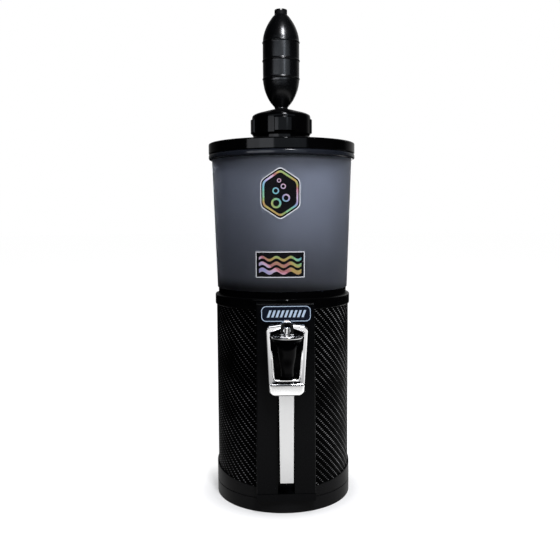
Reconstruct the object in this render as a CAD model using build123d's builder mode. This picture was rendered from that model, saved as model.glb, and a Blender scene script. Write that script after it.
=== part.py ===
from build123d import *
import os
from math import atan2, cos, degrees, dist, pi, radians, sin, sqrt, tan

# Portable drink dispenser: a squeeze-bulb tank on a wrapped pedestal with a push-lever tap.
# Millimetres. The origin is on the table under the tank's axis, +Z is up and the tap faces -Y.

# Clearances
film_gap = 0.03
fit_gap = 0.15
shaft_gap = 0.05
move_gap = 0.35
rest_gap = 0.2
small_round = 0.6

# Plinth and foot ring
plinth_radius = 75.0
plinth_height = 15.0
plinth_wall = 3.5
plinth_floor = 3.0
foot_round = 1.0
seam_round = 0.7
ring_floor = 3.0
ring_floor_inner = 50.0
rim_front_height = 25.5
rim_back_height = 45.5
pillar_radius = 5.2
boss_height = 8.0
cover_screw_radius = 60.0
cover_screw_count = 4
cover_screw_turn = 45.0
screw_radius = 1.9
screw_head_radius = 3.6
screw_head_height = 2.4
screw_head_inset = 1.2
screw_grip = 6.0

# Pedestal tube, its film and the collar that seats the tank
pedestal_height = 215.2
shell_radius = 73.2
shell_wall = 3.2
wrap_thickness = 0.4
window_margin = 1.5
collar_flange_radius = 75.0
collar_flange_height = 11.3
collar_neck_height = 7.0
collar_neck_wall = 1.4
collar_neck_step = 1.0
collar_ledge = 4.0
collar_ledge_width = 11.0
collar_skirt_wall = 3.0
collar_skirt_depth = 10.0
collar_round = 1.0

# Tank and the band round its edge
tank_height = 145.5
tank_foot_radius = 72.3
tank_top_radius = 77.1
tank_wall = 3.5
tank_floor = 5.5
tank_heel_depth = 13.4
tank_heel_wall = 2.6
tank_inner_round = 5.0
tank_lip_round = 0.8
rim_width = 3.3
band_height = 6.0
band_round = 2.0

# Lid with its filling neck
lid_height = 11.3
lid_plate = 3.0
lid_round = 1.4
lid_plug_depth = 10.0
lid_plug_wall = 3.0
lid_seal_depth = 1.0
lid_seal_height = 3.0
lid_seal_offset = 3.0
lid_seal_thickness = 3.2
neck_radius = 30.4
neck_height = 11.5
thread_radius = 27.6
thread_height = 14.2
neck_bore_radius = 23.5
neck_foot_round = 1.0

# Screw cap
cap_radius = 31.6
cap_height = 26.0
cap_wall = 3.2
cap_shoulder_drop = 7.4
cap_shoulder_round = 1.4
cap_crown_radius = 18.0
cap_crown_drop = 1.2
cap_crown_round = 6.0
cap_top_radius = 10.0
cap_seal_height = 2.0
cap_top_wall = 4.0
cap_well_radius = 17.0
pad_radius = 33.3
pad_count = 4
pad_angle = 38.0
pad_height = 15.2
pad_turn = 4.0

# Squeeze bulb
bulb_radius = 19.4
bulb_wall = 2.2
bulb_neck_radius = 7.3
bulb_neck_height = 2.2
bulb_lower_height = 31.4
bulb_wall_height = 39.0
bulb_upper_height = 29.6
bead_height = 0.9
bead_width = 2.6
bead_count = 3
# Swell of the bulb's ends: share of its radius at a share of the end's height
lower_swell = ((0.58, 0.23), (0.90, 0.64))
upper_swell = ((0.87, 0.53), (0.50, 0.10))
# Lean of its curves where they leave the necks, as across and up
lower_lean = (0.7, 1.0)
upper_lean = (-1.0, 0.9)
cavity_lower_lean = (1.0, 0.6)
cavity_upper_lean = (-1.0, 0.4)

# Valves of the bulb
valve_bore_radius = 2.2
valve_lip = 0.9
disc_thickness = 1.2
disc_travel = 1.5
stub_radius = 6.9
stub_height = 5.4
stub_slot_width = 1.4
stub_slot_depth = 1.6
inlet_shank_radius = 5.0
inlet_shank_length = 14.0
inlet_chamber_radius = 3.6
spigot_radius = 6.0
spigot_flange_height = 1.4
spigot_barb_radius = 4.5
spigot_barb_length = 14.0
spigot_tail = 11.5
spigot_chamber_radius = 4.3
spigot_nut_radius = 10.0
spigot_nut_height = 4.5

# Front panel
panel_front = 79.0
panel_wall = 2.5
panel_top_width = 59.6
panel_bottom_width = 62.0
panel_over_collar = 7.8
panel_edge_round = 1.4
panel_lip_height = 7.7
panel_lip_depth = 0.8
channel_width = 17.5
channel_drop = 4.0
channel_depth = 12.5
channel_wall = 2.0
panel_boss_radius = 4.0
panel_screw_spacing = 46.0
panel_screw_rise = 26.8
panel_screw_drop = 23.0
panel_screw_length = 9.0

# Tap body
tap_reach = 28.0
tap_drop = 39.5
head_radius = 14.6
head_height = 2.6
spout_radius = 6.5
spout_length = 3.0
spout_flare_length = 32.2
# Hollow sweep of the funnel: share of its widening at a share of its height
funnel_sweep = ((0.15, 0.30), (0.32, 0.51), (0.54, 0.83))
funnel_lean = (1.0, 0.9)
outlet_radius = 4.2
chamber_radius = 7.5
chamber_depth = 11.5
shank_radius = 8.0
shank_sleeve_radius = 8.2
shank_cover = 0.8
shank_bore_radius = 3.2
shank_tail = 14.5
escutcheon_radius = 17.0
escutcheon_thickness = 2.4
tap_gasket_thickness = 1.2
gasket_inset = 1.0
tap_nut_radius = 13.4
tap_nut_length = 8.0

# Valve in the tap
bonnet_radius = 14.4
bonnet_thickness = 3.0
bonnet_proud = 0.8
bonnet_rim_wall = 0.85
bonnet_plug = 2.0
bonnet_round = 0.7
stem_radius = 2.5
stem_head_radius = 3.2
stem_head_height = 6.0
pin_height = 4.5
pin_radius = 1.5
stem_flange_thickness = 0.8
seat_cup_radius = 6.3
seat_cup_height = 3.4
seat_cup_bevel = 1.0
stem_seal_width = 1.6
stem_seal_height = 1.4
spring_radius = 5.4
spring_wire = 0.8
spring_turns = 3

# Lever
lever_tilt = 10.7
yoke_depth = 6.0
yoke_top_width = 41.3
yoke_low_width = 35.2
yoke_corner_round = 4.5
yoke_edge_round = 1.5
yoke_tongue = 4.0
yoke_bar = 4.3
yoke_top_rise = 6.5
yoke_shoulder_drop = 2.0
yoke_inner_round = 2.0
yoke_top_bar = 4.0
yoke_window_depth = 50.9
yoke_window_round = 4.0
yoke_rim = 3.2
chin_gap = 2.4
chin_height = 12.4
chin_depth = 6.0
chin_round = 6.0
chin_setback = 8.5
hood_height = 10.0
cheek_thickness = 2.7
cheek_heel = 13.0
cheek_toe = 4.5
cheek_round = 1.0
hood_round = 2.0
blade_thickness = 1.5
blade_top_width = 15.2
blade_end_width = 13.6
blade_length = 104.8
blade_overlap = 9.0
blade_end_round = 0.8
blade_screw_radius = 1.4
blade_screw_head = 2.4
blade_screw_head_height = 1.3
blade_screw_depth = 3.6
blade_screw_spacing = 7.6

# Feed line from the tank's floor to the tap
outlet_setback = 26.0
outlet_stem_radius = 8.0
outlet_flange_radius = 13.0
outlet_flange_height = 3.0
outlet_gasket_height = 1.5
outlet_nut_radius = 12.5
outlet_nut_height = 6.5
outlet_bore_radius = 4.0
elbow_drop = 14.0
barb_radius = 4.3
barb_core_radius = 3.9
barb_length = 14.0
barb_teeth = 3
barb_tooth_share = 0.8
hose_wall = 1.9
hose_bend_share = 0.98
clamp_thickness = 0.9
clamp_width = 7.0
clamp_ear = 5.0

# Heights that follow from the sizes above
shell_foot = plinth_height + ring_floor
wrap_radius = shell_radius + film_gap + wrap_thickness
shell_bore = shell_radius - shell_wall
collar_top = pedestal_height + collar_flange_height
neck_ring_top = collar_top + collar_neck_height
tank_foot = neck_ring_top - tank_heel_depth
rim_radius = tank_top_radius + rim_width
tank_top = neck_ring_top + tank_height
tank_floor_top = tank_foot + tank_floor
lid_foot = tank_top + rest_gap
lid_top = lid_foot + lid_height
neck_shoulder = lid_top + neck_height
neck_top = neck_shoulder + thread_height
cap_foot = neck_shoulder + rest_gap
cap_top = cap_foot + cap_height
bulb_foot = cap_top + spigot_flange_height
bulb_wall_foot = bulb_foot + bulb_lower_height
bulb_wall_top = bulb_wall_foot + bulb_wall_height
bulb_top = bulb_wall_top + bulb_upper_height
panel_foot = plinth_height + rest_gap
channel_foot = panel_foot + panel_lip_height
panel_rear = panel_front - panel_wall
panel_top_height = pedestal_height + panel_over_collar
tap_height = panel_top_height - tap_drop
tap_y = -(panel_front + tap_reach)
head_top = tap_height + shank_sleeve_radius + shank_cover
chamber_floor = head_top - chamber_depth
bonnet_top = head_top + bonnet_thickness
pin_z = bonnet_top + pin_height
half_low = yoke_low_width / 2
half_high = yoke_top_width / 2
gap_top = -yoke_window_depth - yoke_rim
yoke_foot = gap_top - chin_gap - yoke_tongue
chin_front = -(tap_y + chin_setback)
chin_rear = chin_front - chin_depth
chin_top = pin_z + (gap_top - chin_gap) * cos(radians(lever_tilt))
chin_foot = chin_top - chin_height
channel_top = chin_foot - channel_drop
blade_end_height = chin_top - blade_length
window_half = tap_nut_radius + window_margin
window_low = channel_foot - channel_wall - window_margin
window_high = tap_height + window_half
window_corners = [
    (-window_half, window_low, 0),
    (window_half, window_low, 0),
    (window_half, window_high, 0),
    (-window_half, window_high, 0),
]
panel_screw_spots = [
    (side * panel_screw_spacing / 2, height)
    for side in (-1, 1)
    for height in (panel_foot + panel_screw_rise, panel_top_height - panel_screw_drop)
]
tap_axis = Axis((0, tap_y, 0), (0, 0, 1))


def keep(piece, name):
    """Label a finished piece and write it to its own file."""
    piece.part.label = name
    export_step(piece.part, f"parts/{name}.step")


def section(*corners, mode=Mode.ADD):
    """Draw a closed face from corners of across, up and rounding."""
    with BuildLine(mode=Mode.PRIVATE) as outline:
        FilletPolyline(
            *[(across, up) for across, up, rounding in corners],
            radius=[rounding for across, up, rounding in corners],
            close=True,
        )
    make_face(outline.edges(), mode=mode)


def ring_section(inner, outer, low, high, rounding=0):
    """Draw the section of a plain ring."""
    section((inner, low, rounding), (outer, low, rounding), (outer, high, rounding), (inner, high, rounding))


def tank_radius(height):
    """Outer radius of the tapering tank at a height above the table."""
    share = (height - neck_ring_top) / tank_height
    return tank_foot_radius + share * (tank_top_radius - tank_foot_radius)


os.makedirs("parts", exist_ok=True)

# Plinth: a shallow dish with screw pillars
pillar_height = plinth_height - plinth_floor
screw_seat = screw_head_inset + screw_head_height
with BuildPart() as base_plate:
    with BuildSketch(Plane.XZ):
        section(
            (0, 0, 0),
            (plinth_radius, 0, foot_round),
            (plinth_radius, plinth_height, seam_round),
            (plinth_radius - plinth_wall, plinth_height, 0),
            (plinth_radius - plinth_wall, plinth_floor, 0),
            (0, plinth_floor, 0),
        )
    revolve(axis=Axis.Z)
    with BuildSketch(Plane.XY.offset(plinth_floor)):
        with PolarLocations(cover_screw_radius, cover_screw_count, start_angle=cover_screw_turn):
            Circle(pillar_radius)
    extrude(amount=pillar_height)
    with BuildSketch(Plane.XY):
        with PolarLocations(cover_screw_radius, cover_screw_count, start_angle=cover_screw_turn):
            Circle(screw_radius + fit_gap)
    extrude(amount=plinth_height, mode=Mode.SUBTRACT)
    with BuildSketch(Plane.XY):
        with PolarLocations(cover_screw_radius, cover_screw_count, start_angle=cover_screw_turn):
            Circle(screw_head_radius + fit_gap)
    extrude(amount=screw_seat, mode=Mode.SUBTRACT)
keep(base_plate, "base_plate")

# Foot ring: its wall is cut by a plane that is low at the front and high at the back
rim_plane = Plane(
    origin=(0, 0, (rim_front_height + rim_back_height) / 2),
    z_dir=(0, rim_front_height - rim_back_height, 2 * plinth_radius),
)
screw_reach = ring_floor + screw_grip
with BuildPart() as foot_ring:
    with BuildSketch(Plane.XZ):
        section(
            (ring_floor_inner, plinth_height, 0),
            (plinth_radius, plinth_height, seam_round),
            (plinth_radius, rim_back_height + ring_floor, 0),
            (wrap_radius + fit_gap, rim_back_height + ring_floor, 0),
            (wrap_radius + fit_gap, shell_foot, 0),
            (ring_floor_inner, shell_foot, 0),
        )
    revolve(axis=Axis.Z)
    split(bisect_by=rim_plane, keep=Keep.BOTTOM)
    with BuildSketch(Plane.XZ):
        section(*window_corners)
    extrude(amount=panel_front, mode=Mode.SUBTRACT)
    with BuildSketch(Plane.XY.offset(shell_foot)):
        with PolarLocations(cover_screw_radius, cover_screw_count, start_angle=cover_screw_turn):
            Circle(pillar_radius)
    extrude(amount=boss_height)
    with BuildSketch(Plane.XY.offset(plinth_height)):
        with PolarLocations(cover_screw_radius, cover_screw_count, start_angle=cover_screw_turn):
            Circle(screw_radius + fit_gap)
    extrude(amount=screw_reach + rest_gap, mode=Mode.SUBTRACT)
keep(foot_ring, "foot_ring")

with BuildPart() as cover_screws:
    with BuildSketch(Plane.XY.offset(screw_head_inset)):
        with PolarLocations(cover_screw_radius, cover_screw_count, start_angle=cover_screw_turn):
            Circle(screw_head_radius)
    extrude(amount=screw_head_height)
    with BuildSketch(Plane.XY.offset(screw_seat)):
        with PolarLocations(cover_screw_radius, cover_screw_count, start_angle=cover_screw_turn):
            Circle(screw_radius)
    extrude(amount=plinth_height + screw_reach - screw_seat)
keep(cover_screws, "cover_screws")

# Pedestal tube and film, with a window behind the panel and holes for its screws
with BuildPart() as base_shell:
    with BuildSketch(Plane.XY.offset(shell_foot)):
        Circle(shell_radius)
        Circle(shell_bore, mode=Mode.SUBTRACT)
    extrude(amount=pedestal_height - shell_foot)
    with BuildSketch(Plane.XZ):
        section(*window_corners)
    extrude(amount=panel_front, mode=Mode.SUBTRACT)
    with BuildSketch(Plane.XZ):
        with Locations(*panel_screw_spots):
            Circle(screw_radius + fit_gap)
    extrude(amount=panel_front, mode=Mode.SUBTRACT)
keep(base_shell, "base_shell")

with BuildPart() as carbon_wrap:
    with BuildSketch(Plane.XY.offset(shell_foot)):
        Circle(wrap_radius)
        Circle(shell_radius + film_gap, mode=Mode.SUBTRACT)
    extrude(amount=pedestal_height - shell_foot)
    with BuildSketch(Plane.XZ):
        section(*window_corners)
    extrude(amount=panel_front, mode=Mode.SUBTRACT)
    with BuildSketch(Plane.XZ):
        with Locations(*panel_screw_spots):
            Circle(screw_radius + fit_gap)
    extrude(amount=panel_front, mode=Mode.SUBTRACT)
keep(carbon_wrap, "carbon_wrap")

# Collar: a flange on the tube, a thin ring round the tank's heel and a ledge under it
collar_neck_radius = tank_foot_radius - collar_neck_step
tank_heel_radius = collar_neck_radius - collar_neck_wall - fit_gap
skirt_radius = shell_bore - fit_gap
with BuildPart() as tank_collar:
    with BuildSketch(Plane.XZ):
        section(
            (skirt_radius - collar_skirt_wall, pedestal_height - collar_skirt_depth, 0),
            (skirt_radius, pedestal_height - collar_skirt_depth, 0),
            (skirt_radius, pedestal_height, 0),
            (collar_flange_radius, pedestal_height, collar_round),
            (collar_flange_radius, collar_top, collar_round),
            (collar_neck_radius, collar_top, 0),
            (collar_neck_radius, neck_ring_top, 0),
            (tank_heel_radius + fit_gap, neck_ring_top, 0),
            (tank_heel_radius + fit_gap, tank_foot, 0),
            (tank_heel_radius - collar_ledge_width, tank_foot, 0),
            (tank_heel_radius - collar_ledge_width, tank_foot - collar_ledge, 0),
            (skirt_radius - collar_skirt_wall, tank_foot - collar_ledge, 0),
        )
    revolve(axis=Axis.Z)
keep(tank_collar, "tank_collar")

# Tank: a tapering bucket with a stepped heel and an outlet hole in its floor
with BuildPart() as tank:
    with BuildSketch(Plane.XZ):
        section(
            (0, tank_foot, 0),
            (tank_heel_radius, tank_foot, 0),
            (tank_heel_radius, neck_ring_top, 0),
            (tank_foot_radius, neck_ring_top, tank_lip_round),
            (tank_top_radius, tank_top, tank_lip_round),
            (tank_top_radius - tank_wall, tank_top, tank_lip_round),
            (tank_foot_radius - tank_wall, neck_ring_top, 0),
            (tank_heel_radius - tank_heel_wall, tank_floor_top, tank_inner_round),
            (0, tank_floor_top, 0),
        )
    revolve(axis=Axis.Z)
    with BuildSketch(Plane.XY.offset(tank_foot)):
        with Locations((0, outlet_setback)):
            Circle(outlet_stem_radius + fit_gap)
    extrude(amount=tank_floor, mode=Mode.SUBTRACT)
keep(tank, "tank")

band_foot = tank_top - band_height
with BuildPart() as tank_rim:
    with BuildSketch(Plane.XZ):
        section(
            (tank_radius(band_foot) + fit_gap, band_foot, 0),
            (rim_radius, band_foot, band_round),
            (rim_radius, tank_top, band_round),
            (tank_radius(tank_top) + fit_gap, tank_top, 0),
        )
    revolve(axis=Axis.Z)
keep(tank_rim, "tank_rim")

# Lid: a shallow cover with a plug into the tank, a seal groove and a threaded filling neck
plug_foot = tank_top - lid_plug_depth
seal_low = plug_foot + lid_seal_offset
tank_bore_at_seal = tank_radius(seal_low) - tank_wall
seal_radius = tank_bore_at_seal - move_gap
plug_radius = seal_radius - lid_seal_thickness + lid_seal_depth
groove_radius = plug_radius - lid_seal_depth
plate_low = lid_top - lid_plate
with BuildPart() as lid:
    with BuildSketch(Plane.XZ):
        section(
            (neck_bore_radius, plate_low, 0),
            (plug_radius - lid_plug_wall, plate_low, 0),
            (plug_radius - lid_plug_wall, plug_foot, 0),
            (plug_radius, plug_foot, small_round),
            (plug_radius, seal_low, 0),
            (groove_radius, seal_low, 0),
            (groove_radius, seal_low + lid_seal_height, 0),
            (plug_radius, seal_low + lid_seal_height, 0),
            (plug_radius, plate_low, 0),
            (tank_top_radius + move_gap, plate_low, 0),
            (tank_top_radius + move_gap, lid_foot, 0),
            (rim_radius, lid_foot, lid_round / 2),
            (rim_radius, lid_top, lid_round),
            (neck_radius, lid_top, neck_foot_round),
            (neck_radius, neck_shoulder, small_round),
            (thread_radius, neck_shoulder, 0),
            (thread_radius, neck_top, small_round),
            (neck_bore_radius, neck_top, small_round),
        )
    revolve(axis=Axis.Z)
keep(lid, "lid")

with BuildPart() as lid_seal:
    with BuildSketch(Plane.XZ):
        ring_section(
            groove_radius + film_gap,
            seal_radius,
            seal_low + film_gap,
            seal_low + lid_seal_height - film_gap,
            lid_seal_height / 4,
        )
    revolve(axis=Axis.Z)
keep(lid_seal, "lid_seal")

# Screw cap: a skirt with grip pads, a sloping top, a seal ledge and a well for the pump's nut
cap_bore = cap_radius - cap_wall
seal_top = neck_top + rest_gap + cap_seal_height
well_top = cap_top - cap_top_wall
# Gap between two pads, with flanks that lean outwards from the skirt to the pads' faces
pad_thickness = pad_radius - cap_radius
gap_top_turn = radians(180 / pad_count - pad_angle / 2)
gap_foot_turn = gap_top_turn - pad_thickness / cap_radius
flank_foot = (cap_radius * cos(gap_foot_turn), cap_radius * sin(gap_foot_turn))
flank_top = (pad_radius * cos(gap_top_turn), pad_radius * sin(gap_top_turn))
flank_slope = (flank_top[1] - flank_foot[1]) / (flank_top[0] - flank_foot[0])
gap_inner_x = flank_foot[0] - pad_thickness
gap_outer_x = pad_radius + pad_thickness
gap_inner_half = flank_foot[1] + (gap_inner_x - flank_foot[0]) * flank_slope
gap_outer_half = flank_foot[1] + (gap_outer_x - flank_foot[0]) * flank_slope
with BuildPart() as screw_cap:
    with BuildSketch(Plane.XZ):
        section(
            (cap_bore, cap_foot, 0),
            (cap_radius, cap_foot, small_round),
            (cap_radius, cap_top - cap_shoulder_drop, cap_shoulder_round),
            (cap_crown_radius, cap_top - cap_crown_drop, cap_crown_round),
            (cap_top_radius, cap_top, 0),
            (spigot_radius + fit_gap, cap_top, 0),
            (spigot_radius + fit_gap, well_top, 0),
            (cap_well_radius, well_top, 0),
            (cap_well_radius, seal_top, 0),
            (cap_bore, seal_top, 0),
        )
    revolve(axis=Axis.Z)
    with BuildSketch(Plane.XY.offset(cap_foot + rest_gap)):
        Circle(pad_radius)
        Circle(cap_radius - cap_wall / 2, mode=Mode.SUBTRACT)
        with PolarLocations(0, pad_count, start_angle=pad_turn + 180 / pad_count):
            Polygon(
                (gap_inner_x, -gap_inner_half),
                (gap_outer_x, -gap_outer_half),
                (gap_outer_x, gap_outer_half),
                (gap_inner_x, gap_inner_half),
                align=None,
                mode=Mode.SUBTRACT,
            )
    extrude(amount=pad_height)
keep(screw_cap, "screw_cap")

with BuildPart() as cap_seal:
    with BuildSketch(Plane.XZ):
        ring_section(neck_bore_radius, cap_bore - move_gap, neck_top + rest_gap / 2, seal_top - rest_gap / 2)
    revolve(axis=Axis.Z)
keep(cap_seal, "cap_seal")

# Spigot through the cap: barb for the bulb above, valve chamber below
spigot_foot = well_top - spigot_tail
spigot_seat = spigot_foot + valve_lip + disc_travel + disc_thickness + 2 * rest_gap
barb_top = bulb_foot + spigot_barb_length
with BuildPart() as pump_spigot:
    with BuildSketch(Plane.XZ):
        section(
            (spigot_chamber_radius - valve_lip, spigot_foot, 0),
            (spigot_radius, spigot_foot, 0),
            (spigot_radius, cap_top, 0),
            (bulb_neck_radius, cap_top, 0),
            (bulb_neck_radius, bulb_foot, 0),
            (spigot_barb_radius, bulb_foot, 0),
            (spigot_barb_radius, barb_top, small_round),
            (valve_bore_radius, barb_top, 0),
            (valve_bore_radius, spigot_seat, 0),
            (spigot_chamber_radius, spigot_seat, 0),
            (spigot_chamber_radius, spigot_foot + valve_lip, 0),
            (spigot_chamber_radius - valve_lip, spigot_foot + valve_lip, 0),
        )
    revolve(axis=Axis.Z)
keep(pump_spigot, "pump_spigot")

with BuildPart() as spigot_nut:
    with BuildSketch(Plane.XY.offset(well_top - spigot_nut_height)):
        RegularPolygon(spigot_nut_radius, 6)
        Circle(spigot_radius + fit_gap, mode=Mode.SUBTRACT)
    extrude(amount=spigot_nut_height)
keep(spigot_nut, "spigot_nut")

with BuildPart() as outlet_disc:
    with BuildSketch(Plane.XY.offset(spigot_seat - rest_gap - disc_thickness)):
        Circle(spigot_chamber_radius - move_gap)
    extrude(amount=disc_thickness)
keep(outlet_disc, "outlet_disc")

# Squeeze bulb: swelling ends, an upright wall with beads, open at both necks
bulb_neck_bore = spigot_barb_radius + fit_gap
bulb_top_bore = inlet_shank_radius + fit_gap
bulb_inner = bulb_radius - bulb_wall
inlet_foot = bulb_top - inlet_shank_length
bead_pitch = bulb_wall_height / (bead_count - 1)
with BuildPart() as pump_bulb:
    with BuildSketch(Plane.XZ):
        with BuildLine():
            neck_line = Polyline(
                (0, bulb_foot),
                (bulb_neck_radius, bulb_foot),
                (bulb_neck_radius, bulb_foot + bulb_neck_height),
            )
            lower_curve = Spline(
                neck_line @ 1,
                *[(across * bulb_radius, bulb_foot + up * bulb_lower_height) for across, up in lower_swell],
                (bulb_radius, bulb_wall_foot),
                tangents=(lower_lean, (0, 1)),
            )
            wall_line = Line(lower_curve @ 1, (bulb_radius, bulb_wall_top))
            upper_curve = Spline(
                wall_line @ 1,
                *[(across * bulb_radius, bulb_top - down * bulb_upper_height) for across, down in upper_swell],
                (stub_radius, bulb_top),
                tangents=((0, 1), upper_lean),
            )
            Polyline(upper_curve @ 1, (0, bulb_top), (0, bulb_foot))
        make_face()
    revolve(axis=Axis.Z)
    for bead in range(bead_count):
        bead_z = bulb_wall_foot + bead * bead_pitch
        with BuildSketch(Plane.XZ):
            section(
                (bulb_inner, bead_z - bead_width / 2, 0),
                (bulb_radius, bead_z - bead_width / 2, 0),
                (bulb_radius + bead_height, bead_z, bead_width / 2),
                (bulb_radius, bead_z + bead_width / 2, 0),
                (bulb_inner, bead_z + bead_width / 2, 0),
            )
        revolve(axis=Axis.Z)
    with BuildSketch(Plane.XZ):
        with BuildLine():
            bore_line = Polyline(
                (0, bulb_foot),
                (bulb_neck_bore, bulb_foot),
                (bulb_neck_bore, barb_top),
            )
            cavity_low = Spline(
                bore_line @ 1,
                (bulb_inner, bulb_wall_foot),
                tangents=(cavity_lower_lean, (0, 1)),
            )
            cavity_wall = Line(cavity_low @ 1, (bulb_inner, bulb_wall_top))
            cavity_high = Spline(
                cavity_wall @ 1,
                (bulb_top_bore, inlet_foot),
                tangents=((0, 1), cavity_upper_lean),
            )
            Polyline(cavity_high @ 1, (bulb_top_bore, bulb_top), (0, bulb_top), (0, bulb_foot))
        make_face()
    revolve(axis=Axis.Z, mode=Mode.SUBTRACT)
keep(pump_bulb, "pump_bulb")

# Inlet valve: slotted stub on a shank in the bulb's upper neck
inlet_seat = inlet_foot + valve_lip + disc_travel + disc_thickness + 2 * rest_gap
with BuildPart() as inlet_valve:
    with BuildSketch(Plane.XZ):
        section(
            (inlet_chamber_radius - valve_lip, inlet_foot, 0),
            (inlet_shank_radius, inlet_foot, 0),
            (inlet_shank_radius, bulb_top, 0),
            (stub_radius, bulb_top, 0),
            (stub_radius, bulb_top + stub_height, small_round),
            (valve_bore_radius, bulb_top + stub_height, 0),
            (valve_bore_radius, inlet_seat, 0),
            (inlet_chamber_radius, inlet_seat, 0),
            (inlet_chamber_radius, inlet_foot + valve_lip, 0),
            (inlet_chamber_radius - valve_lip, inlet_foot + valve_lip, 0),
        )
    revolve(axis=Axis.Z)
    with BuildSketch(Plane.XY.offset(bulb_top + stub_height - stub_slot_depth)):
        Rectangle(2 * stub_radius, stub_slot_width)
        Rectangle(stub_slot_width, 2 * stub_radius)
    extrude(amount=stub_slot_depth, mode=Mode.SUBTRACT)
keep(inlet_valve, "inlet_valve")

with BuildPart() as inlet_disc:
    with BuildSketch(Plane.XY.offset(inlet_seat - rest_gap - disc_thickness)):
        Circle(inlet_chamber_radius - move_gap)
    extrude(amount=disc_thickness)
keep(inlet_disc, "inlet_disc")

# Front panel: a shallow box on the tube, open behind, with a channel for the lever's blade
panel_box = panel_front - shell_bore + panel_wall
rim_side_height = rim_front_height + (rim_back_height - rim_front_height) / 4
half_foot = panel_bottom_width / 2
half_top = panel_top_width / 2
with BuildPart() as front_panel:
    with BuildSketch(Plane.XZ.offset(panel_front)):
        section(
            (-half_foot, panel_foot, 0),
            (half_foot, panel_foot, 0),
            (half_top, panel_top_height, 0),
            (-half_top, panel_top_height, 0),
        )
    extrude(amount=-(panel_front - shell_bore / 2))
    fillet(front_panel.faces().sort_by(Axis.Y)[0].edges(), radius=panel_edge_round)
    with BuildSketch(Plane.XZ.offset(panel_rear)):
        section(
            (panel_wall - half_foot, panel_foot + panel_wall, 0),
            (half_foot - panel_wall, panel_foot + panel_wall, 0),
            (half_top - panel_wall, panel_top_height - panel_wall, 0),
            (panel_wall - half_top, panel_top_height - panel_wall, 0),
        )
    extrude(amount=-panel_rear, mode=Mode.SUBTRACT)
    with BuildSketch(Plane.XZ.offset(panel_rear)):
        with Locations(*panel_screw_spots):
            Circle(panel_boss_radius)
    extrude(amount=-panel_box)
    with BuildSketch(Plane.XZ.offset(panel_rear)):
        with Locations(*panel_screw_spots):
            Circle(screw_radius + fit_gap)
    extrude(amount=-panel_box, mode=Mode.SUBTRACT)
    with BuildSketch(Plane.XY):
        Circle(wrap_radius + fit_gap)
    extrude(amount=panel_top_height, mode=Mode.SUBTRACT)
    with BuildSketch(Plane.XY):
        Circle(plinth_radius + fit_gap)
    extrude(amount=rim_side_height, mode=Mode.SUBTRACT)
    with BuildSketch(Plane.XY.offset(pedestal_height - fit_gap)):
        Circle(collar_flange_radius + fit_gap)
    extrude(amount=collar_flange_height + fit_gap, mode=Mode.SUBTRACT)
    with BuildSketch(Plane.XZ.offset(panel_rear)):
        section(
            (-channel_width / 2 - channel_wall, channel_foot - channel_wall, 0),
            (channel_width / 2 + channel_wall, channel_foot - channel_wall, 0),
            (channel_width / 2 + channel_wall, channel_top + channel_wall, 0),
            (-channel_width / 2 - channel_wall, channel_top + channel_wall, 0),
        )
    extrude(amount=-(channel_depth + channel_wall - panel_wall))
    with BuildSketch(Plane.XZ.offset(panel_front)):
        section(
            (-channel_width / 2, channel_foot, 0),
            (channel_width / 2, channel_foot, 0),
            (channel_width / 2, channel_top, channel_width / 4),
            (-channel_width / 2, channel_top, channel_width / 4),
        )
    extrude(amount=-channel_depth, mode=Mode.SUBTRACT)
    with BuildSketch(Plane.XZ.offset(panel_front - panel_edge_round)):
        section(
            (-half_foot, panel_foot, 0),
            (half_foot, panel_foot, 0),
            (half_foot, panel_foot + panel_lip_height, 0),
            (-half_foot, panel_foot + panel_lip_height, 0),
        )
    extrude(amount=panel_edge_round + panel_lip_depth)
    with BuildSketch(Plane.XZ.offset(panel_front)):
        with Locations((0, tap_height)):
            Circle(shank_radius + fit_gap)
    extrude(amount=-panel_wall, mode=Mode.SUBTRACT)
keep(front_panel, "front_panel")

screw_head_edge = panel_screw_spacing / 2 + screw_head_radius
screw_head_seat = sqrt(shell_bore**2 - screw_head_edge**2) - fit_gap
with BuildPart() as panel_screws:
    with BuildSketch(Plane.XZ.offset(screw_head_seat)):
        with Locations(*panel_screw_spots):
            Circle(screw_head_radius)
    extrude(amount=-screw_head_height)
    with BuildSketch(Plane.XZ.offset(screw_head_seat)):
        with Locations(*panel_screw_spots):
            Circle(screw_radius)
    extrude(amount=panel_screw_length)
keep(panel_screws, "panel_screws")


def barb_corners(root, tip, axis_z):
    """Section corners of a toothed hose barb that lies along Y, from its root to its tip."""
    pitch = (tip - root) / (barb_teeth + 1)
    corners = [(root, axis_z, 0), (root, axis_z + barb_core_radius, 0)]
    for tooth in range(1, barb_teeth + 1):
        corners.append((root + tooth * pitch, axis_z + barb_core_radius, 0))
        corners.append((root + tooth * pitch, axis_z + barb_radius, 0))
        corners.append((root + (tooth + barb_tooth_share) * pitch, axis_z + barb_core_radius, 0))
    corners.append((tip, axis_z + barb_core_radius, 0))
    corners.append((tip, axis_z, 0))
    return corners


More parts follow.
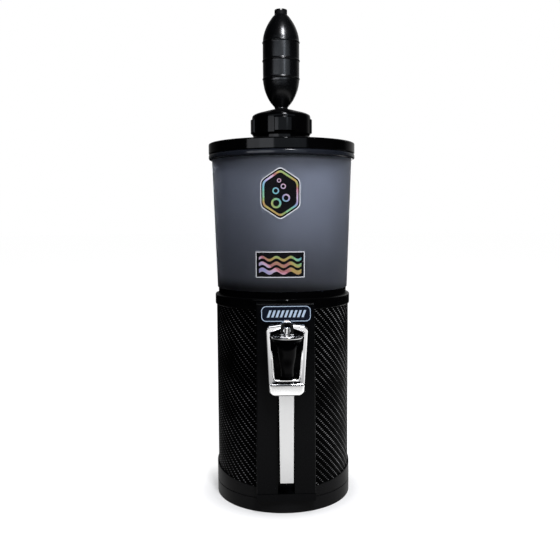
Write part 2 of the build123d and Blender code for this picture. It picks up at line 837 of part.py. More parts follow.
# Tap body: head with a recess, flared spout, shank with escutcheon and a hose barb behind
shank_end = -(panel_rear - shank_tail)
shank_tip = shank_end + barb_length
escutcheon_rear = panel_front + tap_gasket_thickness
spout_top = head_top - head_height
flare_foot = spout_top - spout_flare_length
spout_end = flare_foot - spout_length
shank_axis = Axis((0, 0, tap_height), (0, 1, 0))
bonnet_rim_radius = bonnet_radius + fit_gap + bonnet_rim_wall
with BuildPart() as tap_body:
    with BuildSketch(Plane.XZ.offset(-tap_y)):
        with BuildLine():
            lip_line = Polyline((0, spout_end), (spout_radius, spout_end), (spout_radius, flare_foot))
            flare = Spline(
                lip_line @ 1,
                *[
                    (spout_radius + out * (head_radius - spout_radius), flare_foot + up * spout_flare_length)
                    for out, up in funnel_sweep
                ],
                (head_radius, spout_top),
                tangents=((0, 1), funnel_lean),
            )
            Polyline(
                flare @ 1,
                (bonnet_rim_radius, head_top),
                (bonnet_rim_radius, bonnet_top - bonnet_proud),
                (bonnet_radius + fit_gap, bonnet_top - bonnet_proud),
                (bonnet_radius + fit_gap, head_top),
                (0, head_top),
                (0, spout_end),
            )
        make_face()
    revolve(axis=tap_axis)
    with BuildSketch(Plane.XZ.offset(escutcheon_rear)):
        with Locations((0, tap_height)):
            Circle(shank_sleeve_radius)
    extrude(amount=-tap_y - escutcheon_rear)
    with BuildSketch(Plane.XZ.offset(escutcheon_rear)):
        with Locations((0, tap_height)):
            Circle(escutcheon_radius)
    extrude(amount=escutcheon_thickness)
    with BuildSketch(Plane.XZ.offset(-shank_end)):
        with Locations((0, tap_height)):
            Circle(shank_radius)
    extrude(amount=escutcheon_rear + shank_end)
    with BuildSketch(Plane.YZ):
        section(*barb_corners(shank_end, shank_tip, tap_height))
    revolve(axis=shank_axis)
    with BuildSketch(Plane.XY.offset(chamber_floor)):
        with Locations((0, tap_y)):
            Circle(chamber_radius)
    extrude(amount=chamber_depth, mode=Mode.SUBTRACT)
    with BuildSketch(Plane.XY.offset(spout_end)):
        with Locations((0, tap_y)):
            Circle(outlet_radius)
    extrude(amount=chamber_floor - spout_end, mode=Mode.SUBTRACT)
    with BuildSketch(Plane.XZ.offset(-shank_tip)):
        with Locations((0, tap_height)):
            Circle(shank_bore_radius)
    extrude(amount=shank_tip - tap_y - outlet_radius, mode=Mode.SUBTRACT)
keep(tap_body, "tap_body")

with BuildPart() as tap_gasket:
    with BuildSketch(Plane.XZ.offset(panel_front)):
        with Locations((0, tap_height)):
            Circle(escutcheon_radius - gasket_inset)
            Circle(shank_radius + fit_gap, mode=Mode.SUBTRACT)
    extrude(amount=tap_gasket_thickness)
keep(tap_gasket, "tap_gasket")

with BuildPart() as tap_nut:
    with BuildSketch(Plane.XZ.offset(panel_rear - tap_nut_length)):
        with Locations((0, tap_height)):
            RegularPolygon(tap_nut_radius, 6)
            Circle(shank_radius + fit_gap, mode=Mode.SUBTRACT)
    extrude(amount=tap_nut_length)
keep(tap_nut, "tap_nut")

# Bonnet: a disc that closes the chamber and guides the stem
guide_radius = stem_radius + shaft_gap
seal_pocket_radius = guide_radius + stem_seal_width
plug_low = head_top - bonnet_plug
with BuildPart() as tap_bonnet:
    with BuildSketch(Plane.XZ.offset(-tap_y)):
        section(
            (guide_radius, plug_low + stem_seal_height, 0),
            (seal_pocket_radius, plug_low + stem_seal_height, 0),
            (seal_pocket_radius, plug_low, 0),
            (chamber_radius - fit_gap, plug_low, 0),
            (chamber_radius - fit_gap, head_top, 0),
            (bonnet_radius, head_top, bonnet_round),
            (bonnet_radius, bonnet_top, bonnet_round),
            (guide_radius, bonnet_top, 0),
        )
    revolve(axis=tap_axis)
keep(tap_bonnet, "tap_bonnet")

with BuildPart() as stem_seal:
    with BuildSketch(Plane.XZ.offset(-tap_y)):
        ring_section(
            guide_radius,
            seal_pocket_radius - film_gap,
            plug_low,
            plug_low + stem_seal_height - film_gap,
            stem_seal_height / 4,
        )
    revolve(axis=tap_axis)
keep(stem_seal, "stem_seal")

# Stem with its seat cup: the cup closes the outlet, the head above the bonnet carries the lever
cup_foot = chamber_floor + rest_gap / 2
cup_top = cup_foot + seat_cup_height
spring_foot = cup_top + stem_flange_thickness
stem_foot = cup_foot + seat_cup_height / 2
stem_head_foot = pin_z - stem_head_height / 2
with BuildPart() as valve_stem:
    with BuildSketch(Plane.XZ.offset(-tap_y)):
        section(
            (0, stem_foot, 0),
            (stem_radius, stem_foot, 0),
            (stem_radius, cup_top, 0),
            (seat_cup_radius, cup_top, 0),
            (seat_cup_radius, spring_foot, 0),
            (stem_radius, spring_foot, 0),
            (stem_radius, stem_head_foot, 0),
            (stem_head_radius, stem_head_foot, 0),
            (stem_head_radius, stem_head_foot + stem_head_height, small_round),
            (0, stem_head_foot + stem_head_height, 0),
        )
    revolve(axis=tap_axis)
    with BuildSketch(Plane.YZ):
        with Locations((tap_y, pin_z)):
            Circle(pin_radius + shaft_gap)
    extrude(amount=stem_head_radius, both=True, mode=Mode.SUBTRACT)
keep(valve_stem, "valve_stem")

with BuildPart() as seat_cup:
    with BuildSketch(Plane.XZ.offset(-tap_y)):
        section(
            (0, cup_foot, 0),
            (seat_cup_radius - seat_cup_bevel, cup_foot, 0),
            (seat_cup_radius, cup_foot + seat_cup_bevel, 0),
            (seat_cup_radius, cup_top, 0),
            (stem_radius + shaft_gap, cup_top, 0),
            (stem_radius + shaft_gap, stem_foot, 0),
            (0, stem_foot, 0),
        )
    revolve(axis=tap_axis)
keep(seat_cup, "seat_cup")

# Return spring between the stem's flange and the bonnet
coil_low = spring_foot + spring_wire / 2 + film_gap
coil_high = plug_low - spring_wire / 2 - film_gap
spring_pitch = (coil_high - coil_low) / spring_turns
with BuildPart() as return_spring:
    with BuildLine() as coil:
        Helix(
            pitch=spring_pitch,
            height=coil_high - coil_low,
            radius=spring_radius,
            center=(0, tap_y, coil_low),
        )
    with BuildSketch(Plane(origin=coil.line @ 0, z_dir=coil.line % 0)):
        Circle(spring_wire / 2)
    sweep(path=coil.line, is_frenet=True)
keep(return_spring, "return_spring")
steps_per_turn = 60
coil_points = [
    (
        spring_radius * cos(2 * pi * step / steps_per_turn),
        spring_radius * sin(2 * pi * step / steps_per_turn),
        spring_pitch * step / steps_per_turn,
    )
    for step in range(spring_turns * steps_per_turn + 1)
]
coil_gap = min(
    dist(point, other)
    for index, point in enumerate(coil_points)
    for other in coil_points[index + steps_per_turn // 2:]
)
print("return spring, least gap to itself", round(coil_gap - spring_wire, 3))

# Lever yoke: cam cheeks with a hood at the pin, a framed window round the tap and a chin below
slot_half = stem_head_radius + move_gap
hood_radius = slot_half + cheek_thickness
cheek_foot = bonnet_top + move_gap
hood_top = pin_z + hood_height
hood_axis = hood_top - hood_radius
yoke_plane = Plane(
    origin=(0, tap_y, pin_z),
    x_dir=(1, 0, 0),
    z_dir=(0, -cos(radians(lever_tilt)), -sin(radians(lever_tilt))),
)
with BuildPart() as yoke_clevis:
    with BuildSketch(Plane.XZ.offset(-tap_y)):
        with Locations((0, hood_axis)):
            Circle(hood_radius)
        section(
            (-hood_radius, cheek_foot, 0),
            (hood_radius, cheek_foot, 0),
            (hood_radius, hood_axis, 0),
            (-hood_radius, hood_axis, 0),
        )
    extrude(amount=cheek_heel + hood_radius, both=True)
    with BuildSketch(Plane.YZ):
        section(
            (tap_y - cheek_toe, cheek_foot, cheek_round),
            (tap_y + cheek_heel, cheek_foot, small_round),
            (tap_y + cheek_heel, cheek_foot + cheek_thickness, cheek_round),
            (tap_y + cheek_toe, hood_top, hood_round),
            (tap_y - cheek_toe, hood_top, hood_round),
        )
    extrude(amount=hood_radius, both=True, mode=Mode.INTERSECT)

with BuildPart() as yoke_chin:
    with BuildSketch(Plane.XZ.offset(chin_front)):
        section(
            (-half_low, chin_top, 0),
            (-half_low, chin_foot, chin_round),
            (half_low, chin_foot, chin_round),
            (half_low, chin_top, 0),
        )
    extrude(amount=-chin_depth)
    fillet(yoke_chin.faces().sort_by(Axis.Y)[0].edges(), radius=yoke_edge_round)

with BuildPart() as lever_yoke:
    with BuildSketch(yoke_plane):
        section(
            (-half_low, yoke_foot, 0),
            (half_low, yoke_foot, 0),
            (half_high, yoke_top_rise - yoke_shoulder_drop, yoke_corner_round),
            (hood_radius, yoke_top_rise, 0),
            (-hood_radius, yoke_top_rise, 0),
            (-half_high, yoke_top_rise - yoke_shoulder_drop, yoke_corner_round),
        )
        section(
            (yoke_bar - half_low, -yoke_window_depth, yoke_window_round),
            (half_low - yoke_bar, -yoke_window_depth, yoke_window_round),
            (half_high - yoke_bar, yoke_top_rise - 2 * yoke_top_bar, yoke_inner_round),
            (hood_radius, yoke_top_rise - yoke_top_bar, 0),
            (-hood_radius, yoke_top_rise - yoke_top_bar, 0),
            (yoke_bar - half_high, yoke_top_rise - 2 * yoke_top_bar, yoke_inner_round),
            mode=Mode.SUBTRACT,
        )
        section(
            (yoke_bar - half_low, gap_top, chin_gap / 3),
            (yoke_bar - half_low, gap_top - chin_gap, chin_gap / 3),
            (half_low - yoke_bar, gap_top - chin_gap, chin_gap / 3),
            (half_low - yoke_bar, gap_top, chin_gap / 3),
            mode=Mode.SUBTRACT,
        )
    extrude(amount=yoke_depth / 2, both=True)
    fillet(lever_yoke.faces().filter_by(yoke_plane).edges(), radius=yoke_edge_round)
    with BuildSketch(Plane.XZ.offset(chin_rear)):
        section(
            (-half_high, chin_foot, 0),
            (half_high, chin_foot, 0),
            (half_high, chin_top, 0),
            (-half_high, chin_top, 0),
        )
    extrude(amount=-yoke_depth, mode=Mode.SUBTRACT)
    add(yoke_clevis.part)
    add(yoke_chin.part)
    with BuildSketch(Plane.XZ.offset(-tap_y)):
        with Locations((0, hood_axis)):
            Circle(slot_half)
        section(
            (-slot_half, cheek_foot - move_gap, 0),
            (slot_half, cheek_foot - move_gap, 0),
            (slot_half, hood_axis, 0),
            (-slot_half, hood_axis, 0),
        )
    extrude(amount=cheek_heel + hood_radius, both=True, mode=Mode.SUBTRACT)
    with BuildSketch(Plane.YZ):
        with Locations((tap_y, pin_z)):
            Circle(pin_radius + shaft_gap)
    extrude(amount=hood_radius, both=True, mode=Mode.SUBTRACT)
    with BuildSketch(Plane.XZ.offset(chin_rear)):
        with Locations((0, chin_top - blade_overlap / 2)):
            with GridLocations(blade_screw_spacing, 1, 2, 1):
                Circle(blade_screw_radius + fit_gap)
    extrude(amount=blade_screw_depth, mode=Mode.SUBTRACT)
keep(lever_yoke, "lever_yoke")

with BuildPart() as lever_pin:
    with BuildSketch(Plane.YZ):
        with Locations((tap_y, pin_z)):
            Circle(pin_radius)
    extrude(amount=hood_radius, both=True)
keep(lever_pin, "lever_pin")

# Blade behind the chin, tapering to a straight cut end
with BuildPart() as lever_blade:
    with BuildSketch(Plane.XZ.offset(chin_rear)):
        section(
            (-blade_top_width / 2, chin_top, 0),
            (-blade_end_width / 2, blade_end_height, blade_end_round),
            (blade_end_width / 2, blade_end_height, blade_end_round),
            (blade_top_width / 2, chin_top, 0),
        )
    extrude(amount=-blade_thickness)
    with BuildSketch(Plane.XZ.offset(chin_rear)):
        with Locations((0, chin_top - blade_overlap / 2)):
            with GridLocations(blade_screw_spacing, 1, 2, 1):
                Circle(blade_screw_radius + fit_gap)
    extrude(amount=-blade_thickness, mode=Mode.SUBTRACT)
keep(lever_blade, "lever_blade")

with BuildPart() as blade_screws:
    with BuildSketch(Plane.XZ.offset(chin_rear - blade_thickness)):
        with Locations((0, chin_top - blade_overlap / 2)):
            with GridLocations(blade_screw_spacing, 1, 2, 1):
                Circle(blade_screw_head)
    extrude(amount=-blade_screw_head_height)
    with BuildSketch(Plane.XZ.offset(chin_rear - blade_thickness)):
        with Locations((0, chin_top - blade_overlap / 2)):
            with GridLocations(blade_screw_spacing, 1, 2, 1):
                Circle(blade_screw_radius)
    extrude(amount=blade_thickness + blade_screw_depth - rest_gap)
keep(blade_screws, "blade_screws")

# Outlet fitting: a flanged elbow through the tank's floor, its barb towards the tap
gasket_top = tank_floor_top + outlet_gasket_height
elbow_z = tank_foot - elbow_drop
elbow_root = outlet_setback - outlet_stem_radius
elbow_tip = elbow_root - barb_length
with BuildPart() as outlet_fitting:
    with BuildSketch(Plane.XY.offset(elbow_z - outlet_stem_radius)):
        with Locations((0, outlet_setback)):
            Circle(outlet_stem_radius)
    extrude(amount=gasket_top - elbow_z + outlet_stem_radius)
    with BuildSketch(Plane.XY.offset(gasket_top)):
        with Locations((0, outlet_setback)):
            Circle(outlet_flange_radius)
    extrude(amount=outlet_flange_height)
    with BuildSketch(Plane.YZ):
        section(*barb_corners(outlet_setback, elbow_tip, elbow_z))
    revolve(axis=Axis((0, 0, elbow_z), (0, 1, 0)))
    with BuildSketch(Plane.XY.offset(elbow_z)):
        with Locations((0, outlet_setback)):
            Circle(outlet_bore_radius)
    extrude(amount=gasket_top + outlet_flange_height - elbow_z, mode=Mode.SUBTRACT)
    with BuildSketch(Plane.XZ.offset(-outlet_setback)):
        with Locations((0, elbow_z)):
            Circle(shank_bore_radius)
    extrude(amount=outlet_setback - elbow_tip, mode=Mode.SUBTRACT)
keep(outlet_fitting, "outlet_fitting")

with BuildPart() as outlet_gasket:
    with BuildSketch(Plane.XY.offset(tank_floor_top)):
        with Locations((0, outlet_setback)):
            Circle(outlet_flange_radius - gasket_inset)
            Circle(outlet_stem_radius + fit_gap, mode=Mode.SUBTRACT)
    extrude(amount=outlet_gasket_height)
keep(outlet_gasket, "outlet_gasket")

with BuildPart() as outlet_nut:
    with BuildSketch(Plane.XY.offset(tank_foot - outlet_nut_height)):
        with Locations((0, outlet_setback)):
            RegularPolygon(outlet_nut_radius, 6)
            Circle(outlet_stem_radius + fit_gap, mode=Mode.SUBTRACT)
    extrude(amount=outlet_nut_height)
keep(outlet_nut, "outlet_nut")

# Hose from the elbow down to the tap's barb: straight ends and two equal bends
hose_bore = barb_radius + fit_gap
hose_radius = hose_bore + hose_wall
hose_start = elbow_root - rest_gap
hose_end = shank_end + rest_gap
hose_span = elbow_tip - shank_tip
hose_drop = elbow_z - tap_height
hose_turn = 2 * atan2(hose_drop, hose_span)
bend_radius = hose_span / (2 * sin(hose_turn))
bend_tangent = bend_radius * tan(hose_turn / 2)
hose_route = [
    (0, hose_start, elbow_z),
    (0, elbow_tip - bend_tangent, elbow_z),
    (0, shank_tip + bend_tangent, tap_height),
    (0, hose_end, tap_height),
]
with BuildPart() as feed_hose:
    with BuildLine() as route:
        FilletPolyline(*hose_route, radius=hose_bend_share * bend_radius)
    with BuildSketch(Plane(origin=hose_route[0], z_dir=(0, -1, 0))):
        Circle(hose_radius)
        Circle(hose_bore, mode=Mode.SUBTRACT)
    sweep(path=route.line)
keep(feed_hose, "feed_hose")
print("feed hose, bend radius", round(bend_radius, 1), "turn", round(degrees(hose_turn), 1))

clamp_inner = hose_radius + fit_gap
clamp_outer = clamp_inner + clamp_thickness
with BuildPart() as hose_clamps:
    for middle, axis_z in (
        ((elbow_root + elbow_tip) / 2, elbow_z),
        ((shank_end + shank_tip) / 2, tap_height),
    ):
        with BuildSketch(Plane.XZ.offset(-middle - clamp_width / 2)):
            with Locations((0, axis_z)):
                Circle(clamp_outer)
                with Locations((0, -clamp_outer)):
                    Rectangle(clamp_ear, clamp_ear)
                Circle(clamp_inner, mode=Mode.SUBTRACT)
        extrude(amount=clamp_width)
keep(hose_clamps, "hose_clamps")
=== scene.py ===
from math import cos, exp, pi, radians, sin

import bmesh
import bpy
from mathutils import Matrix, Vector


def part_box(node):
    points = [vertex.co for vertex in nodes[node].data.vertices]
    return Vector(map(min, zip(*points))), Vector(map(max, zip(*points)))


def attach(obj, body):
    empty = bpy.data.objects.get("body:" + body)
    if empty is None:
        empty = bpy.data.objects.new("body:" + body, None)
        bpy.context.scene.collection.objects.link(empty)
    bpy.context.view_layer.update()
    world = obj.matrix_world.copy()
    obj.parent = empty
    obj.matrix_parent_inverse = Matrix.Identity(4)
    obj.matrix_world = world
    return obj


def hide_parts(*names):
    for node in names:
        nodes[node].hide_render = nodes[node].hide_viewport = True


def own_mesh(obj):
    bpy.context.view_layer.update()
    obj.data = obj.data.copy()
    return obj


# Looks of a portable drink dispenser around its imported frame. Metres, +Z up, the tap faces -Y.

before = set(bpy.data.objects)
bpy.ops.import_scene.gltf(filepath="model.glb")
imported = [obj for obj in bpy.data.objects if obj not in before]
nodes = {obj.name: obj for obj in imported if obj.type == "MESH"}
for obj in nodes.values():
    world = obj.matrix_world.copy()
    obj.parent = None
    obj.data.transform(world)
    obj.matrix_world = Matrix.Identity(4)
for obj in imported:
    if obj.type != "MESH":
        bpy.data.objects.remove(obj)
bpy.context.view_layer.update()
scene = bpy.context.scene
scene.view_settings.view_transform = "Standard"


def middle_of(name):
    """Middle of a node's box."""
    low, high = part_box(name)
    return (low + high) / 2


# Places on the frame
tank_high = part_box("tank")[1]
tank_foot_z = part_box("tank_collar")[1].z
tank_foot_radius = 0.0723
tank_top_radius = tank_high.x
lid_top_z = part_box("lid")[1].z
panel_lip_depth = 0.0008
panel_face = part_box("front_panel")[0].y + panel_lip_depth
bulb_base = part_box("pump_bulb")[0].z
bulb_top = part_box("pump_bulb")[1].z
cap_low, cap_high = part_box("screw_cap")
blade_low, blade_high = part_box("lever_blade")
bonnet_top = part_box("tap_bonnet")[1].z
bonnet_middle = middle_of("tap_bonnet")
pin_middle = middle_of("lever_pin")
spring_low, spring_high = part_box("return_spring")
spring_middle = middle_of("return_spring")

# Range that holds most values of a noise texture
noise_low = 0.3
noise_high = 0.7


# Node helpers
def new_material(name):
    """A material with a Principled shader; returns it with its tree and shader."""
    made = bpy.data.materials.new(name)
    made.use_nodes = True
    tree = made.node_tree
    return made, tree, tree.nodes["Principled BSDF"]


def node(tree, kind, sources=(), **settings):
    """Add a node, set its fields and fill its inputs in order with sockets or values; None skips one."""
    made = tree.nodes.new(kind)
    for field, value in settings.items():
        setattr(made, field, value)
    for index, source in enumerate(sources):
        if source is None:
            continue
        if isinstance(source, bpy.types.NodeSocket):
            tree.links.new(source, made.inputs[index])
        else:
            made.inputs[index].default_value = source
    return made


def set_inputs(target, values):
    """Set inputs of a node to plain values, by their names."""
    for name, value in values.items():
        target.inputs[name].default_value = value


def maths(tree, operation, *sources):
    """Output of a math node."""
    return node(tree, "ShaderNodeMath", sources, operation=operation).outputs[0]


def place(tree):
    """Object coordinates, in metres in the part's own frame."""
    return node(tree, "ShaderNodeTexCoord").outputs["Object"]


def axes(tree, vector):
    """X, Y and Z of a vector, by name."""
    return node(tree, "ShaderNodeSeparateXYZ", (vector,)).outputs


def stretched(tree, scale):
    """Object coordinates scaled along each axis."""
    mapping = node(tree, "ShaderNodeMapping", (place(tree),))
    set_inputs(mapping, {"Scale": scale})
    return mapping.outputs[0]


def noise(tree, vector, scale, detail, roughness=0.5):
    """Value of a noise texture."""
    made = node(tree, "ShaderNodeTexNoise", (vector,))
    set_inputs(made, {"Scale": scale, "Detail": detail, "Roughness": roughness})
    return made.outputs[0]


def span(tree, value, low, high, new_low, new_high, **settings):
    """Map a value from one range to another, clamped."""
    return node(tree, "ShaderNodeMapRange", (value, low, high, new_low, new_high), **settings).outputs[0]


def ramp(tree, value, stops):
    """Colour ramp output for stops of position and colour."""
    made = node(tree, "ShaderNodeValToRGB", (value,))
    elements = made.color_ramp.elements
    while len(elements) < len(stops):
        elements.new(0.5)
    for element, (position, colour) in zip(elements, stops):
        element.position = position
        element.color = (*colour, 1)
    return made.outputs[0]


def shaded(tree, cloud, dark, light):
    """Colour between two tones, by a noise value."""
    return ramp(tree, cloud, [(noise_low, dark), (noise_high, light)])


def varied(tree, cloud, low, high):
    """Number between two others, by a noise value."""
    return span(tree, cloud, noise_low, noise_high, low, high)


def scaled(tree, colour, factor):
    """A colour times a value."""
    made = node(tree, "ShaderNodeVectorMath", (colour,), operation="SCALE")
    tree.links.new(factor, made.inputs["Scale"])
    return made.outputs[0]


def bump(tree, shader, height, depth, strength):
    """Give the shader a bump from a height value."""
    made = node(tree, "ShaderNodeBump")
    set_inputs(made, {"Strength": strength, "Distance": depth})
    tree.links.new(height, made.inputs["Height"])
    tree.links.new(made.outputs[0], shader.inputs["Normal"])


def grey(level):
    """Neutral colour."""
    return (level, level, level)


def moulded(name, dark, light, rough, specular, grain, top_rough=0.0, clear=0.0):
    """Moulded plastic or rubber: cloudy tone, uneven gloss, a fine grain and, if asked, duller level faces.

    The roughness lies between the two values of rough, grain gives the scale and the depth of the bump, and
    clear is the share of light that passes through.
    """
    made, tree, shader = new_material(name)
    grain_scale, grain_depth = grain
    cloud = noise(tree, place(tree), scale=45.0, detail=4.0)
    fine = noise(tree, place(tree), grain_scale, detail=2.0)
    tree.links.new(shaded(tree, cloud, dark, light), shader.inputs["Base Color"])
    gloss = varied(tree, cloud, *rough)
    if top_rough:
        facing = axes(tree, node(tree, "ShaderNodeTexCoord").outputs["Normal"])
        gloss = maths(tree, "ADD", gloss, span(tree, facing["Z"], 0.9, 0.98, 0.0, top_rough))
    tree.links.new(gloss, shader.inputs["Roughness"])
    set_inputs(shader, {"Specular IOR Level": specular, "Transmission Weight": clear})
    bump(tree, shader, fine, grain_depth, strength=0.35)
    return made


def metal(name, dark, light, rough, grain, depth, painted_height_shade=None):
    """Metal with a grain of its own scale along each axis and, if asked, painted shade that scales its tone
    along the height.

    The roughness lies between the two values of rough, and painted_height_shade gives two heights and the
    tone at each.
    """
    made, tree, shader = new_material(name)
    streak = noise(tree, stretched(tree, grain), scale=1.0, detail=5.0, roughness=0.6)
    colour = shaded(tree, streak, dark, light)
    # Painted shade: the tone is scaled along the height
    if painted_height_shade:
        colour = scaled(tree, colour, span(tree, axes(tree, place(tree))["Z"], *painted_height_shade))
    tree.links.new(colour, shader.inputs["Base Color"])
    tree.links.new(varied(tree, streak, *rough), shader.inputs["Roughness"])
    set_inputs(shader, {"Metallic": 1.0})
    bump(tree, shader, streak, depth, strength=0.3)
    return made


def carbon_film():
    """Film with a raised twill weave, two threads over and two under, in the tube's own angle and height,
    with painted glints on the crowns of its weft threads.
    """
    made, tree, shader = new_material("carbon_film")
    cells_round = 232
    cell_height = 0.0020
    over = 2.0
    repeat = 2 * over
    spot = axes(tree, place(tree))
    turn = maths(tree, "ARCTAN2", spot["Y"], spot["X"])
    across = maths(tree, "MULTIPLY", turn, cells_round / (2 * pi))
    up = maths(tree, "DIVIDE", spot["Z"], cell_height)
    across_cell = maths(tree, "FLOOR", across)
    up_cell = maths(tree, "FLOOR", up)
    across_part = maths(tree, "SUBTRACT", across, across_cell)
    up_part = maths(tree, "SUBTRACT", up, up_cell)
    weft_run = maths(tree, "FLOORED_MODULO", maths(tree, "ADD", across, up_cell), repeat)
    warp_run = maths(tree, "FLOORED_MODULO", maths(tree, "ADD", up, across_cell), repeat)
    weft = maths(tree, "LESS_THAN", weft_run, over)

    def crown(run, part):
        """Height of a thread, from its run along and its part across."""
        along = maths(tree, "SINE", maths(tree, "MULTIPLY", run, pi / over))
        beside = maths(tree, "SINE", maths(tree, "MULTIPLY", part, pi))
        return maths(tree, "MAXIMUM", maths(tree, "MULTIPLY", along, beside), 0.0)

    weft_crown = crown(weft_run, up_part)
    warp_crown = crown(maths(tree, "SUBTRACT", warp_run, over), across_part)
    height = node(tree, "ShaderNodeMix", (weft, None, warp_crown, weft_crown), data_type="FLOAT").outputs[0]
    # Painted glints: the weft crowns are coloured bright, varied by a noise
    sheen = noise(tree, place(tree), scale=30.0, detail=3.0)
    bright = maths(tree, "MULTIPLY", maths(tree, "MULTIPLY", weft, weft_crown), varied(tree, sheen, 0.6, 1.0))
    colours = [
        (0.0, (0.0003, 0.0003, 0.0004)),
        (0.55, (0.0009, 0.0009, 0.0010)),
        (0.97, (0.26, 0.26, 0.265)),
    ]
    tree.links.new(ramp(tree, bright, colours), shader.inputs["Base Color"])
    tree.links.new(span(tree, weft, 0.0, 1.0, 0.5, 0.35), shader.inputs["Roughness"])
    set_inputs(shader, {"Specular IOR Level": 0.012})
    bump(tree, shader, height, depth=0.0002, strength=0.6)
    return made


def frosted():
    """Smoke-tinted frosted plastic that lets light through, with painted light towards its top and right, and
    darker at its foot, partly for the thicker heel and partly as painted shade.
    """
    made, tree, shader = new_material("frosted_smoke")
    # Painted light: heights where the tint grows paler towards the top, and the slant that makes the right
    # side paler
    painted_light_low_z = 0.25
    painted_light_high_z = 0.37
    painted_light_slope = 0.25
    # Darker foot: partly the thicker heel and partly painted shade, which ends lower on the lit right side
    heel_low_z = tank_foot_z + 0.002
    heel_high_z = tank_foot_z + 0.016
    heel_slope = 0.12
    cloud = noise(tree, place(tree), scale=12.0, detail=3.0)
    fine = noise(tree, place(tree), scale=2600.0, detail=2.0)
    tint = shaded(tree, cloud, (0.282, 0.303, 0.357), (0.3, 0.321, 0.376))
    spot = axes(tree, place(tree))
    painted_light_level = maths(tree, "ADD", spot["Z"], maths(tree, "MULTIPLY", spot["X"], painted_light_slope))
    painted_light = span(tree, painted_light_level, painted_light_low_z, painted_light_high_z, 0.85, 1.27)
    right = maths(tree, "MULTIPLY", maths(tree, "MAXIMUM", spot["X"], 0.0), heel_slope)
    heel_level = maths(tree, "ADD", spot["Z"], right)
    heel_and_painted_shade = span(tree, heel_level, heel_low_z, heel_high_z, 0.1, 1.0, interpolation_type="SMOOTHSTEP")
    colour = scaled(tree, tint, maths(tree, "MULTIPLY", heel_and_painted_shade, painted_light))
    tree.links.new(colour, shader.inputs["Base Color"])
    tree.links.new(varied(tree, cloud, 0.42, 0.48), shader.inputs["Roughness"])
    set_inputs(shader, {"Transmission Weight": 0.9, "IOR": 1.25, "Specular IOR Level": 0.1})
    bump(tree, shader, fine, depth=0.00006, strength=0.5)
    return made


def holographic():
    """Rainbow foil: hue runs across the print in soft diagonal bands."""
    made, tree, shader = new_material("rainbow_foil")
    hues_across = 16.0
    hues_up = 22.0
    wander = 0.9
    spot = axes(tree, place(tree))
    across = maths(tree, "MULTIPLY", spot["X"], hues_across)
    up = maths(tree, "MULTIPLY", spot["Z"], hues_up)
    drift = maths(tree, "MULTIPLY", noise(tree, place(tree), scale=60.0, detail=2.0), wander)
    hue = maths(tree, "FRACT", maths(tree, "ADD", maths(tree, "ADD", across, up), drift))
    colours = [
        (0.0, (0.75, 0.28, 0.34)),
        (0.18, (0.78, 0.55, 0.18)),
        (0.36, (0.42, 0.74, 0.3)),
        (0.54, (0.24, 0.66, 0.72)),
        (0.72, (0.5, 0.48, 0.8)),
        (0.88, (0.82, 0.62, 0.8)),
        (1.0, (0.75, 0.28, 0.34)),
    ]
    tree.links.new(ramp(tree, hue, colours), shader.inputs["Base Color"])
    tree.links.new(span(tree, hue, 0.0, 1.0, 0.22, 0.36), shader.inputs["Roughness"])
    set_inputs(shader, {"Metallic": 0.55})
    return made


# Black plastics and rubber
black = (0.0005, 0.0005, 0.0006)
soft_black = (0.0009, 0.0009, 0.0011)
satin_black = moulded(
    "satin_black", (0.005, 0.005, 0.0052), (0.007, 0.007, 0.0074),
    rough=(0.34, 0.44), specular=0.06, grain=(1800.0, 0.00004),
)
# The panel's black is the satin black in a darker tone: painted shade on the panel, against the foot's
# lighter satin black
shaded_panel_black = moulded(
    "shaded_panel_black", (0.0010, 0.0011, 0.0014), (0.0016, 0.0017, 0.0021),
    rough=(0.24, 0.32), specular=0.06, grain=(1800.0, 0.00003),
)
gloss_black = moulded(
    "gloss_black", black, soft_black,
    rough=(0.07, 0.12), specular=0.14, grain=(500.0, 0.000006), top_rough=0.4,
)
tap_black = moulded(
    "tap_black", black, soft_black,
    rough=(0.04, 0.08), specular=0.04, grain=(400.0, 0.000004),
)
rim_black = moulded(
    "rim_black", (0.008, 0.0095, 0.014), (0.012, 0.0138, 0.019),
    rough=(0.12, 0.18), specular=0.3, grain=(500.0, 0.000006),
)
inner_black = moulded(
    "inner_black", grey(0.01), grey(0.016),
    rough=(0.5, 0.6), specular=0.2, grain=(900.0, 0.00005),
)
rubber = moulded(
    "black_rubber", (0.0007, 0.0008, 0.0011), (0.0012, 0.0013, 0.0017),
    rough=(0.2, 0.25), specular=0.7, grain=(2200.0, 0.00001),
)

# Pale plastics, tank and film
white_plastic = moulded(
    "white_plastic", (0.6, 0.6, 0.58), (0.68, 0.68, 0.66),
    rough=(0.35, 0.45), specular=0.4, grain=(900.0, 0.00003),
)
hose_plastic = moulded(
    "clear_hose", (0.42, 0.44, 0.45), (0.5, 0.52, 0.53),
    rough=(0.2, 0.3), specular=0.4, grain=(300.0, 0.00002), clear=0.6,
)
smoke = frosted()
carbon = carbon_film()

# Metals
chrome = metal(
    "bright_chrome", (0.8, 0.8, 0.81), (0.86, 0.86, 0.87),
    rough=(0.06, 0.1), grain=(90.0, 90.0, 90.0), depth=0.000002,
)
satin_chrome = metal(
    "satin_chrome", grey(0.92), grey(0.97),
    rough=(0.16, 0.22), grain=(90.0, 90.0, 90.0), depth=0.000004,
)
# Brushed blade, with painted shade: darker towards its foot and paler at its top
brushed = metal(
    "brushed_blade", grey(0.84), grey(0.92),
    rough=(0.3, 0.42), grain=(4200.0, 900.0, 14.0), depth=0.000012,
    painted_height_shade=(blade_low.z, blade_high.z, 0.86, 1.08),
)
plain_steel = metal(
    "plain_steel", grey(0.5), (0.64, 0.64, 0.63),
    rough=(0.25, 0.36), grain=(600.0, 600.0, 600.0), depth=0.000006,
)

